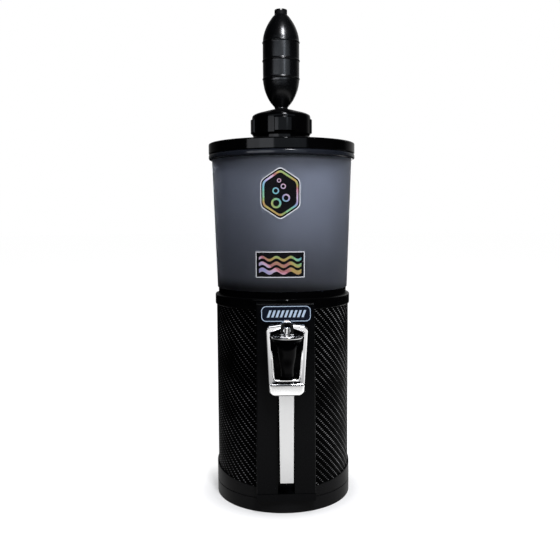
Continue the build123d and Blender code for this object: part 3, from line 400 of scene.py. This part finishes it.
# Prints
vinyl_grain = (700.0, 0.00001)
vinyl_black = moulded(
    "vinyl_black", (0.004, 0.004, 0.005), (0.007, 0.007, 0.008),
    rough=(0.18, 0.26), specular=0.2, grain=vinyl_grain,
)
vinyl_white = moulded(
    "vinyl_white", (0.62, 0.63, 0.65), (0.7, 0.71, 0.73),
    rough=(0.25, 0.35), specular=0.3, grain=vinyl_grain,
)
vinyl_blue = moulded(
    "vinyl_blue", (0.44, 0.55, 0.68), (0.5, 0.61, 0.74),
    rough=(0.22, 0.3), specular=0.3, grain=vinyl_grain,
)
vinyl_navy = moulded(
    "vinyl_navy", (0.004, 0.006, 0.013), (0.006, 0.009, 0.018),
    rough=(0.2, 0.28), specular=0.15, grain=vinyl_grain,
)
foil = holographic()

# Finish of each node of the frame
finishes = [
    (satin_black, ["base_plate", "foot_ring", "inlet_valve", "pump_spigot"]),
    (shaded_panel_black, ["front_panel"]),
    (gloss_black, ["tank_collar", "lid", "screw_cap"]),
    (rim_black, ["tank_rim"]),
    (tap_black, ["tap_body"]),
    (inner_black, ["base_shell"]),
    (carbon, ["carbon_wrap"]),
    (smoke, ["tank"]),
    (rubber, ["pump_bulb", "inlet_disc", "outlet_disc", "lid_seal", "cap_seal"]),
    (rubber, ["tap_gasket", "stem_seal", "seat_cup", "outlet_gasket"]),
    (white_plastic, ["spigot_nut", "tap_nut", "outlet_fitting", "outlet_nut"]),
    (hose_plastic, ["feed_hose"]),
    (chrome, ["tap_bonnet", "lever_yoke"]),
    (satin_chrome, ["valve_stem"]),
    (brushed, ["lever_blade"]),
    (plain_steel, ["cover_screws", "panel_screws", "blade_screws"]),
    (plain_steel, ["lever_pin", "return_spring", "hose_clamps"]),
]
for finish, names in finishes:
    for name in names:
        nodes[name].data.materials.clear()
        nodes[name].data.materials.append(finish)


# Mesh helpers
crease = radians(50)
lathe_steps = 96


def new_piece(name, shape, finish, body, smooth=False):
    """Turn a bmesh into an object that rides on a body."""
    mesh = bpy.data.meshes.new(name)
    bmesh.ops.recalc_face_normals(shape, faces=shape.faces)
    shape.to_mesh(mesh)
    shape.free()
    if smooth:
        mesh.polygons.foreach_set("use_smooth", [True] * len(mesh.polygons))
        mesh.set_sharp_from_angle(angle=crease)
    mesh.materials.append(finish)
    made = bpy.data.objects.new(name, mesh)
    scene.collection.objects.link(made)
    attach(made, body)
    return made


def skin(shape, rings):
    """Faces between each closed ring of corners and the next."""
    for ring, following in zip(rings, rings[1:]):
        for here in range(len(ring)):
            there = (here + 1) % len(ring)
            shape.faces.new((ring[here], following[here], following[there], ring[there]))


def stacked(outlines):
    """Closed mesh from outlines of points, one after the other, with its first and last filled."""
    shape = bmesh.new()
    rings = [[shape.verts.new(point) for point in outline] for outline in outlines]
    skin(shape, rings)
    shape.faces.new(rings[0][::-1])
    shape.faces.new(rings[-1])
    return shape


def turned(sections):
    """Closed ring mesh from closed profiles of radius and height, each at its own turn about the Z axis."""
    shape = bmesh.new()
    rings = [
        [shape.verts.new((r * cos(turn), r * sin(turn), z)) for r, z in profile]
        for turn, profile in sections
    ]
    skin(shape, rings + rings[:1])
    return shape


def lathe(profile):
    """Closed ring mesh from one closed profile of radius and height about the Z axis."""
    return turned([(2 * pi * step / lathe_steps, profile) for step in range(lathe_steps)])


def swept(path, normal, across, up, sides=12):
    """Closed rounded ridge along an open path: half its width across, its height up along the normal."""
    tip_share = 0.15
    tip_steps = 6
    last = len(path) - 1
    outlines = []
    for index, spot in enumerate(path):
        side = (path[min(index + 1, last)] - path[max(index - 1, 0)]).normalized().cross(normal)
        taper = min(1.0, tip_share + index / tip_steps, tip_share + (last - index) / tip_steps)
        turns = [2 * pi * step / sides for step in range(sides)]
        outlines.append([
            spot + taper * (across * cos(turn) * side + up * sin(turn) * normal)
            for turn in turns
        ])
    return stacked(outlines)


def eased(points, pieces):
    """Smooth curve through points, with that many steps between each two."""
    padded = [points[0], *points, points[-1]]
    curve = []
    for a, b, c, d in zip(padded, padded[1:], padded[2:], padded[3:]):
        for step in range(pieces):
            t = step / pieces
            curve.append(tuple(
                0.5 * (
                    2 * q + (r - p) * t + (2 * p - 5 * q + 4 * r - s) * t**2 + (3 * q - p - 3 * r + s) * t**3
                )
                for p, q, r, s in zip(a, b, c, d)
            ))
    return [*curve, points[-1]]


def finer(points, gap):
    """Points with more added on long steps."""
    dense = [points[0]]
    for (r0, z0), (r1, z1) in zip(points, points[1:]):
        count = max(1, int(abs(z1 - z0) / gap))
        dense += [(r0 + (r1 - r0) * k / count, z0 + (z1 - z0) * k / count) for k in range(1, count + 1)]
    return dense


def soft_step(value, low, high):
    """Smooth rise from 0 at low to 1 at high."""
    share = min(1.0, max(0.0, (value - low) / (high - low)))
    return share * share * (3 - 2 * share)


# Outlines of across and height
quadrants = ((1, 1), (-1, 1), (-1, -1), (1, -1))


def round_cornered(corners, steps=8):
    """Outline with four round corners, from each one's middle and radius."""
    loop = []
    for quarter, (x, z, radius) in enumerate(corners):
        for step in range(steps + 1):
            turn = pi / 2 * (quarter + step / steps)
            loop.append((x + radius * cos(turn), z + radius * sin(turn)))
    return loop


def rounded(cx, cz, width, height, radius):
    """Outline of a rounded rectangle."""
    reach = width / 2 - radius
    rise = height / 2 - radius
    return round_cornered([(cx + side * reach, cz + level * rise, radius) for side, level in quadrants])


def circle(cx, cz, radius, steps=28):
    """Outline of a circle."""
    turns = [2 * pi * step / steps for step in range(steps)]
    return [(cx + radius * cos(turn), cz + radius * sin(turn)) for turn in turns]


def hexagon(cx, cz, half_width, half_height, steps=5, corner_share=0.16):
    """Outline of a tall hexagon with softened corners."""
    corners = [
        (cx, cz + half_height),
        (cx - half_width, cz + half_height / 2),
        (cx - half_width, cz - half_height / 2),
        (cx, cz - half_height),
        (cx + half_width, cz - half_height / 2),
        (cx + half_width, cz + half_height / 2),
    ]
    loop = []
    for before, corner, after in zip(corners[-1:] + corners, corners, corners[1:] + corners[:1]):
        here = Vector(corner)
        start = here.lerp(Vector(before), corner_share)
        end = here.lerp(Vector(after), corner_share)
        for step in range(steps + 1):
            t = step / steps
            loop.append(tuple(start.lerp(here, t).lerp(here.lerp(end, t), t)))
    return loop


def wave(cx, cz, width, swing, thickness, turns, steps=60):
    """Outline of a wavy band."""
    upper = []
    lower = []
    for step in range(steps + 1):
        x = cx - width / 2 + width * step / steps
        z = cz + swing * sin(2 * pi * turns * step / steps)
        upper.append((x, z + thickness / 2))
        lower.append((x, z - thickness / 2))
    return upper + lower[::-1]


# Squeeze bulb, soft, in place of its plain solid.
# Its outside gives radius and rise over the base, its inside radius and height.
bulb_outside = [
    (0.0073, 0.0),
    (0.0076, 0.0014),
    (0.0123, 0.0072),
    (0.0158, 0.0136),
    (0.0182, 0.0201),
    (0.0195, 0.0265),
    (0.0199, 0.0314),
    (0.0200, 0.0510),
    (0.0199, 0.0704),
    (0.0191, 0.0778),
    (0.0171, 0.0842),
    (0.0140, 0.0906),
    (0.0097, 0.0970),
]
bulb_mouth = 0.0069
bulb_inside = [
    (0.00515, bulb_top),
    (0.00515, bulb_top - 0.014),
    (0.0150, bulb_top - 0.0205),
    (0.0172, bulb_top - 0.0296),
    (0.0172, bulb_base + 0.0314),
    (0.0145, bulb_base + 0.0205),
    (0.00465, bulb_base + 0.014),
    (0.00465, bulb_base),
]
bulb_gap = 0.0003
bead_heights = [bulb_base + rise for rise in (0.0314, 0.0509, 0.0704)]
bead_lift = 0.0007
bead_half = 0.0008


def with_beads(radius, z):
    """Bulb radius with its raised beads."""
    lift = sum(bead_lift * exp(-(((z - bead) / bead_half) ** 2)) for bead in bead_heights)
    return radius + lift, z


bulb_curve = eased([(r, bulb_base + rise) for r, rise in bulb_outside] + [(bulb_mouth, bulb_top)], pieces=6)
bulb_profile = [with_beads(r, z) for r, z in finer(bulb_curve, bulb_gap)] + bulb_inside
bulb = new_piece("bulb_skin", lathe(bulb_profile), rubber, "cap", smooth=True)
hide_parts("pump_bulb")
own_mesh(bulb)

# Screw cap with a full round shoulder and soft-edged grip pads, in place of its plainer solid
cap_top = cap_high.z
cap_side = 0.0324
cap_bore = 0.0284
cap_recess = 0.0170
cap_hole = 0.0062
cap_hold = 0.0004
neck_room = 0.0308
pad_count = 4
pad_pitch = 2 * pi / pad_count
pad_turn = radians(4)
pad_lift = 0.0016
pad_half = radians(18.4)
pad_flank = radians(1.8)
pad_top = cap_top - 0.0107
pad_foot = cap_low.z - 0.0010
pad_bevel = 0.0012
cap_foot = pad_foot - 0.0022
bore_top = cap_top - 0.0096
recess_top = cap_top - 0.0040
cap_shoulder = [
    (0.0100, cap_top),
    (0.0145, cap_top - 0.0012),
    (0.0220, cap_top - 0.0033),
    (0.0265, cap_top - 0.0045),
    (0.0297, cap_top - 0.0057),
    (0.0314, cap_top - 0.0068),
    (0.0320, cap_top - 0.0078),
    (0.0323, cap_top - 0.0090),
    (cap_side, cap_top - 0.0105),
]
cap_inside = [
    (neck_room + cap_hold, cap_foot),
    (neck_room, cap_foot),
    (neck_room, cap_low.z),
    (cap_bore, cap_low.z),
    (cap_bore, bore_top),
    (cap_recess, bore_top),
    (cap_recess, recess_top),
    (cap_hole, recess_top),
    (cap_hole, cap_top),
]


def cap_section(off_pad, bevel_steps=6):
    """Closed section of the cap at an angle off the nearest pad's middle."""
    lift = pad_lift * (1 - soft_step(abs(off_pad), pad_half, pad_half + pad_flank))
    steps = [pad_bevel * step / bevel_steps for step in range(bevel_steps + 1)]
    bevel = [(cap_side + lift * soft_step(step, 0, pad_bevel), step) for step in steps]
    upper = [(radius, pad_top - step) for radius, step in bevel]
    lower = [(radius, pad_foot + step) for radius, step in bevel[::-1]]
    face = [
        (cap_side + lift, pad_top - pad_bevel - cap_hold),
        (cap_side + lift, pad_foot + pad_bevel + cap_hold),
    ]
    return eased(cap_shoulder, pieces=5) + upper + face + lower + cap_inside


def evenly(start, end, steps):
    """Values at even steps from start up to end, without end."""
    return [start + (end - start) * step / steps for step in range(steps)]


pad_steps = 12
flank_steps = 8
pad_flat = pad_half - cap_hold / cap_side
flank_end = pad_half + pad_flank
open_start = flank_end + cap_hold / cap_side
half_turns = [
    *evenly(0, pad_flat, pad_steps),
    pad_flat,
    *evenly(pad_half, flank_end, flank_steps),
    flank_end,
    *evenly(open_start, pad_pitch / 2, pad_steps),
]
pad_turns = [-turn for turn in half_turns[:0:-1]] + half_turns + [pad_pitch / 2]
cap_sections = [
    (pad_turn + pad_pitch * pad + off_pad, cap_section(off_pad))
    for pad in range(pad_count)
    for off_pad in pad_turns
]
cap = new_piece("cap_shell", turned(cap_sections), gloss_black, "cap", smooth=True)
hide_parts("screw_cap")

# Chrome band round the rim of the tap's head
head_rim = 0.01540
band_low = bonnet_top - 0.0026
band_high = bonnet_top - 0.0008
band_profile = [
    (head_rim + 0.00002, band_low),
    (head_rim + 0.00014, band_low + 0.0002),
    (head_rim + 0.00018, (band_low + band_high) / 2),
    (head_rim + 0.00014, band_high - 0.0001),
    (head_rim - 0.0002, band_high + 0.00004),
    (head_rim - 0.0006, band_high + 0.00002),
]
band_shape = lathe(band_profile)
bmesh.ops.translate(band_shape, verts=band_shape.verts, vec=(bonnet_middle.x, bonnet_middle.y, 0))
band = new_piece("bonnet_band", band_shape, chrome, "base", smooth=True)

# Raised lip along the lower part of the lever's window
lever_tilt = radians(10.7)
lip_normal = Vector((0, -cos(lever_tilt), -sin(lever_tilt)))
lip_up = Vector((0, -sin(lever_tilt), cos(lever_tilt)))
lip_proud = 0.003
lip_half = 0.0011
lip_height = 0.0009
lip_outline = [
    (-0.0152, -0.0200),
    (-0.0146, -0.0300),
    (-0.0140, -0.0400),
    (-0.0137, -0.0462),
    (-0.0126, -0.0502),
    (-0.0096, -0.0522),
]
lip_outline += [(-across, up) for across, up in lip_outline[::-1]]
lip_path = [
    pin_middle + Vector((across, 0, 0)) + up * lip_up + lip_proud * lip_normal
    for across, up in eased(lip_outline, pieces=6)
]
lip_shape = swept(lip_path, lip_normal, lip_half, lip_height)
lip = new_piece("yoke_lip", lip_shape, satin_chrome, "lever", smooth=True)

# Full, softly domed face of the lever's chin, over the plainer solid.
# Its steps give how far each outline is drawn in and how far it stands out.
chin_top = pin_middle.z - 0.0552
chin_foot = pin_middle.z - 0.0674
chin_half = 0.0173
chin_taper = 0.0005
chin_back = pin_middle.y + 0.0095
chin_top_corner = 0.0016
chin_foot_corner = 0.0050
chin_least_corner = 0.0003
chin_steps = [
    (0.0, 0.0),
    (0.0, 0.0025),
    (0.0001, 0.0028),
    (0.0003, 0.0030),
    (0.0006, 0.0032),
    (0.0011, 0.0033),
    (0.0022, 0.00335),
]


def chin_outline(inset):
    """Outline of the chin, with small round corners at its top and large ones at its foot."""
    middle_z = (chin_top + chin_foot) / 2
    half_height = (chin_top - chin_foot) / 2
    corners = []
    for side, level in quadrants:
        radius = max((chin_top_corner if level > 0 else chin_foot_corner) - inset, chin_least_corner)
        half_width = chin_half + level * chin_taper
        corners.append((
            side * (half_width - inset - radius),
            middle_z + level * (half_height - inset - radius),
            radius,
        ))
    return round_cornered(corners)


chin_shape = stacked([
    [(pin_middle.x + x, chin_back - lift, z) for x, z in chin_outline(inset)]
    for inset, lift in chin_steps
])
new_piece("chin_face", chin_shape, satin_chrome, "lever", smooth=True)

# Return spring as a wound wire, in place of its stiff solid
wire_radius = 0.0004
coil_radius = (spring_high.x - spring_low.x) / 2 - wire_radius
coil_turns = 3
turn_steps = 48
coil_steps = turn_steps * coil_turns
coil_rise = spring_high.z - spring_low.z - 2 * wire_radius
coil_path = [
    Vector((
        spring_middle.x + coil_radius * cos(2 * pi * coil_turns * step / coil_steps),
        spring_middle.y + coil_radius * sin(2 * pi * coil_turns * step / coil_steps),
        spring_low.z + wire_radius + coil_rise * step / coil_steps,
    ))
    for step in range(coil_steps + 1)
]
coil_shape = swept(coil_path, Vector((0, 0, 1)), wire_radius, wire_radius)
spring = new_piece("spring_coil", coil_shape, plain_steel, "base", smooth=True)
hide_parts("return_spring")
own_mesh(spring)

# Prints: thin sheets laid on the tank or on the panel, in layers
print_seat = 0.00002
print_layer = 0.00008
print_slice = 0.002


def on_tank(across, height, lift):
    """Point on the tank's tapering front for a distance across and a height."""
    share = (height - tank_foot_z) / (tank_high.z - tank_foot_z)
    radius = tank_foot_radius + share * (tank_top_radius - tank_foot_radius)
    turn = across / radius
    return Vector(((radius + lift) * sin(turn), -(radius + lift) * cos(turn), height))


def on_panel(across, height, lift):
    """Point on the panel's flat front."""
    return Vector((across, panel_face - lift, height))


def print_sheet(name, loops, surface, layer, finish):
    """Thin closed sheet in a layer over a surface, from outlines of across and height."""
    low = layer * print_layer if layer else print_seat
    high = (layer + 1) * print_layer
    shape = bmesh.new()
    edges = []
    for loop in loops:
        corners = [shape.verts.new((x, z, 0)) for x, z in loop]
        edges += [shape.edges.new((a, b)) for a, b in zip(corners, corners[1:] + corners[:1])]
    bmesh.ops.triangle_fill(shape, use_beauty=True, use_dissolve=False, edges=edges)
    left = min(x for loop in loops for x, z in loop)
    right = max(x for loop in loops for x, z in loop)
    count = int((right - left) / print_slice)
    for cut in range(1, count):
        bmesh.ops.bisect_plane(
            shape,
            geom=shape.verts[:] + shape.edges[:] + shape.faces[:],
            plane_co=(left + (right - left) * cut / count, 0, 0),
            plane_no=(1, 0, 0),
            dist=1e-7,
        )
    top = bmesh.ops.extrude_face_region(shape, geom=shape.faces[:])
    raised = {v for v in top["geom"] if isinstance(v, bmesh.types.BMVert)}
    for corner in shape.verts:
        corner.co = surface(corner.co.x, corner.co.y, high if corner in raised else low)
    new_piece(name, shape, finish, "base")


def tank_print(name, loops, layer, finish):
    """Print on the tank."""
    print_sheet(name, loops, on_tank, layer, finish)


def panel_print(name, loops, layer, finish):
    """Print on the panel."""
    print_sheet(name, loops, on_panel, layer, finish)


# Badge on the tank: a hexagon with bubbles.
# Outlines give half width and half height, bubbles their place across and up and their radius.
badge_x = -0.0045
badge_z = 0.3345
badge_edge = (0.0205, 0.0268)
badge_field = (0.0196, 0.0257)
badge_ring = (0.0182, 0.0238)
badge_ring_hole = (0.0164, 0.0215)
bubble_hole = 0.62
bubbles = [
    (-0.0042, -0.0098, 0.0052),
    (0.0058, -0.0046, 0.0040),
    (-0.0046, 0.0026, 0.0034),
    (0.0030, 0.0070, 0.0027),
    (-0.0012, 0.0128, 0.0021),
]
tank_print("badge_edge", [hexagon(badge_x, badge_z, *badge_edge)], 0, vinyl_white)
tank_print("badge_field", [hexagon(badge_x, badge_z, *badge_field)], 1, vinyl_black)
ring_loops = [hexagon(badge_x, badge_z, *half) for half in (badge_ring, badge_ring_hole)]
tank_print("badge_ring", ring_loops, 2, foil)
for index, (dx, dz, radius) in enumerate(bubbles):
    bubble_loops = [circle(badge_x + dx, badge_z + dz, r) for r in (radius, radius * bubble_hole)]
    tank_print(f"badge_bubble_{index}", bubble_loops, 2, foil)

# Plate on the tank: three waves in a frame.
# Outlines give width, height and corner radius, waves their rise and thickness.
plate_x = -0.0051
plate_z = 0.2622
plate_edge = (0.0512, 0.0268, 0.0006)
plate_field = (0.0494, 0.0250, 0.0005)
wave_width = 0.044
wave_swing = 0.0016
wave_turns = 3
waves = [(0.0062, 0.0026), (0.0, 0.0034), (-0.0066, 0.0042)]
tank_print("plate_edge", [rounded(plate_x, plate_z, *plate_edge)], 0, vinyl_white)
tank_print("plate_field", [rounded(plate_x, plate_z, *plate_field)], 1, vinyl_black)
for index, (rise, thickness) in enumerate(waves):
    wave_loop = wave(plate_x, plate_z + rise, wave_width, wave_swing, thickness, wave_turns)
    tank_print(f"plate_wave_{index}", [wave_loop], 2, foil)

# Label on the panel: slanted bars in a rounded ring.
# Outlines give width, height and corner radius.
label_x = 0.0005
label_z = 0.2125
label_field = (0.0518, 0.0172, 0.0055)
label_ring = (0.0504, 0.0158, 0.0050)
label_ring_hole = (0.0490, 0.0144, 0.0043)
bar_count = 9
bar_pitch = 0.0044
bar_start = label_x - 0.0196
bar_width = 0.0024
bar_slant = 0.0026
bar_low = label_z - 0.0036
bar_high = label_z + 0.0036
panel_print("label_field", [rounded(label_x, label_z, *label_field)], 0, vinyl_navy)
label_loops = [rounded(label_x, label_z, *size) for size in (label_ring, label_ring_hole)]
panel_print("label_ring", label_loops, 1, vinyl_blue)
for index in range(bar_count):
    foot_x = bar_start + index * bar_pitch
    bar = [
        (foot_x, bar_low),
        (foot_x + bar_width, bar_low),
        (foot_x + bar_slant + bar_width, bar_high),
        (foot_x + bar_slant, bar_high),
    ]
    panel_print(f"label_bar_{index}", [bar], 1, vinyl_blue)


# Floor and world
def ray_kinds(tree):
    """One for rays that come straight from the camera, one for mirror rays and one for clear rays."""
    path = node(tree, "ShaderNodeLightPath")
    return path.outputs["Is Camera Ray"], path.outputs["Is Glossy Ray"], path.outputs["Is Transmission Ray"]


def soft_floor():
    """White table that keeps the object's shadow, with a painted shadow round its foot and painted shade
    close under it, and falls off into a dark room; white for the camera elsewhere.

    Its pale level lights the object and is dimmer close under it, as painted shade. Its glow is for the
    camera, weaker round the foot as a painted shadow, and, only at a slant, for mirrors.
    """
    made, tree, shader = new_material("studio_floor")
    foot_edge = 0.08
    table_start = 0.3
    table_end = 0.6
    room_start = 0.85
    left_end = -0.3
    left_start = -0.06
    left_slope = 0.4
    # Painted shadow round the foot: the camera glow rises between these distances
    painted_shadow_start = 0.078
    painted_shadow_end = 0.11
    set_inputs(shader, {"Roughness": 0.9, "Specular IOR Level": 0.0})
    straight, mirror = ray_kinds(tree)[:2]
    away = node(tree, "ShaderNodeVectorMath", (place(tree),), operation="LENGTH").outputs["Value"]
    # Painted shade: the table is dimmer close under the object
    near = span(tree, away, foot_edge, table_start, 0.45, 0.8)
    far = span(tree, away, table_end, room_start, 1.0, 0.01)
    spot = axes(tree, place(tree))
    aside = maths(tree, "SUBTRACT", spot["X"], maths(tree, "MULTIPLY", spot["Y"], left_slope))
    left = span(tree, aside, left_end, left_start, 0.12, 1.0)
    table = maths(tree, "MULTIPLY", maths(tree, "MULTIPLY", near, far), left)
    dull = maths(tree, "MULTIPLY", table, maths(tree, "SUBTRACT", 1.0, mirror))
    pale = maths(tree, "MAXIMUM", dull, maths(tree, "MULTIPLY", straight, 0.5))
    tree.links.new(pale, shader.inputs["Base Color"])
    # Camera glow, weaker close round the foot as a painted contact shadow
    white = maths(tree, "MULTIPLY", straight, span(tree, away, painted_shadow_start, painted_shadow_end, 0.42, 0.82))
    slanted = span(tree, node(tree, "ShaderNodeLayerWeight").outputs["Facing"], 0.36, 0.54, 0.0, 1.66)
    shine = maths(tree, "MULTIPLY", maths(tree, "MULTIPLY", mirror, table), slanted)
    glow = node(tree, "ShaderNodeEmission", ((1, 1, 1, 1), maths(tree, "ADD", white, shine)))
    both = node(tree, "ShaderNodeAddShader", (shader.outputs[0], glow.outputs[0]))
    tree.links.new(both.outputs[0], tree.nodes["Material Output"].inputs["Surface"])
    return made


def studio_world():
    """White backdrop for the camera, and softer surroundings in mirrors, through clear walls and as light."""
    made = bpy.data.worlds.new("studio")
    made.use_nodes = True
    tree = made.node_tree
    background = tree.nodes["Background"]
    straight, mirror, clear = ray_kinds(tree)
    way = axes(tree, node(tree, "ShaderNodeTexCoord").outputs["Generated"])
    ahead = span(tree, way["Y"], 0.35, 0.85, 0.015, 0.4)
    backdrop = maths(tree, "MULTIPLY", ahead, span(tree, way["X"], -0.6, 0.4, 0.15, 1.0))
    beyond = span(tree, way["Y"], 0.6, 0.95, 0.02, 0.3)
    sides = span(tree, way["X"], -0.8, 0.8, 0.1, 0.6)
    shown = maths(tree, "MAXIMUM", straight, maths(tree, "MAXIMUM", mirror, clear))
    rest = maths(tree, "SUBTRACT", 1.0, shown)
    level = straight
    for share, strength in ((mirror, backdrop), (clear, beyond), (rest, sides)):
        level = maths(tree, "ADD", level, maths(tree, "MULTIPLY", share, strength))
    set_inputs(background, {"Color": (1, 1, 1, 1)})
    tree.links.new(level, background.inputs["Strength"])
    return made


floor_radius = 12.0
floor_sides = 64
floor_shape = bmesh.new()
bmesh.ops.create_circle(floor_shape, cap_ends=True, segments=floor_sides, radius=floor_radius)
floor_mesh = bpy.data.meshes.new("floor")
floor_shape.to_mesh(floor_mesh)
floor_shape.free()
floor_mesh.materials.append(soft_floor())
floor = bpy.data.objects.new("floor", floor_mesh)
scene.collection.objects.link(floor)
scene.world = studio_world()


# Lamps
def studio_lamp(name, target, reach, turn, rise, size, power, tint=(1, 1, 1), mirrored=True, lights=True):
    """Rectangular softbox aimed at a target from its reach, its turn to the right and its rise, in degrees.

    Glossy faces show it only if it is mirrored, and dull ones take its light only if it lights.
    """
    light = bpy.data.lights.new(name, "AREA")
    light.color = tint
    light.shape = "RECTANGLE"
    light.size, light.size_y = size
    light.energy = power
    aside = radians(turn)
    up = radians(rise)
    away = Vector((sin(aside) * cos(up), -cos(aside) * cos(up), sin(up)))
    spot = Vector(target) + reach * away
    made = bpy.data.objects.new(name, light)
    made.location = spot
    made.rotation_euler = (Vector(target) - spot).to_track_quat("-Z", "Y").to_euler()
    made.visible_camera = False
    made.visible_glossy = mirrored
    made.visible_diffuse = lights
    scene.collection.objects.link(made)
    return made


def only_for(light, *pieces):
    """Let a lamp shine on these pieces and nothing else."""
    group = bpy.data.collections.new(light.name)
    for piece in pieces:
        group.objects.link(piece)
    light.light_linking.receiver_collection = group


def not_for(light, piece):
    """Let a lamp shine on all but this piece."""
    only_for(light, piece)
    light.light_linking.receiver_collection.collection_objects[0].light_linking.link_state = "EXCLUDE"


# Softboxes for the whole object, and a small one behind the tank that glows through it
far_reach = 1.15
near_reach = 0.6
middle = (0, 0, 0.28)
bulb_middle = (0, 0, (bulb_base + bulb_top) / 2)
tank_shoulder = (0, 0, 0.4)
tank_glow = (0.036, 0, 0.352)
lid_middle = (0, 0, lid_top_z)
cold = (0.8, 0.89, 1.0)
cool = (0.92, 0.94, 1.0)
violet = (0.95, 0.95, 1.0)
key = studio_lamp("key", bulb_middle, far_reach, turn=13, rise=39, size=(0.2, 0.5), power=14.0, tint=violet)
studio_lamp("strip", bulb_middle, far_reach, turn=19, rise=14, size=(0.12, 0.4), power=0.5, tint=cold)
studio_lamp(
    "window", lid_middle, far_reach, turn=-34, rise=5, size=(0.85, 0.14), power=1.25, tint=cool, lights=False,
)
studio_lamp("top", middle, reach=1.1, turn=0, rise=84, size=(0.8, 0.8), power=3.0, mirrored=False)
studio_lamp("front", bulb_middle, near_reach, turn=0, rise=14, size=(1.5, 0.13), power=0.45, tint=cold)
studio_lamp("fill", tank_shoulder, near_reach, turn=0, rise=6.5, size=(0.8, 0.1), power=0.26, tint=cold)
studio_lamp("glow", tank_glow, reach=0.2, turn=174, rise=4, size=(0.13, 0.2), power=0.098)

# The film's weave takes its light from the right and from behind
film = nodes["carbon_wrap"]
not_for(key, film)
weave = studio_lamp("weave", middle, far_reach, turn=62, rise=30, size=(0.3, 0.5), power=10.0, mirrored=False)
only_for(weave, film)
rear = studio_lamp("rear", middle, far_reach, turn=200, rise=30, size=(0.5, 0.5), power=10.0, mirrored=False)
only_for(rear, film, nodes["tank"])

# Two softboxes for the tap's bright metal alone, one overhead and one in front
tap_head = (0, -0.107, 0.19)
gleam = studio_lamp("gleam", tap_head, reach=0.9, turn=0, rise=80, size=(0.9, 0.9), power=6.0)
only_for(gleam, nodes["lever_yoke"], nodes["tap_bonnet"], nodes["valve_stem"], band)
glint = studio_lamp("glint", tap_head, reach=1.0, turn=0, rise=22, size=(1.0, 1.6), power=7.0)
only_for(glint, nodes["valve_stem"], lip)

# Camera at the photograph's place
camera_reach = 0.783
camera_height = 0.3118
camera_turn = radians(2.3)
camera_yaw = radians(0.185)
camera_pitch = radians(5.25)
camera_roll = radians(-0.33)
lens = bpy.data.cameras.new("camera")
lens.sensor_width = 36.0
lens.lens = 44.83
camera = bpy.data.objects.new("camera", lens)
camera.location = (-camera_reach * sin(camera_turn), -camera_reach * cos(camera_turn), camera_height)
camera.rotation_euler = (
    Matrix.Rotation(camera_yaw - camera_turn, 3, "Z")
    @ Matrix.Rotation(pi / 2 - camera_pitch, 3, "X")
    @ Matrix.Rotation(camera_roll, 3, "Z")
).to_euler()
scene.collection.objects.link(camera)
scene.camera = camera
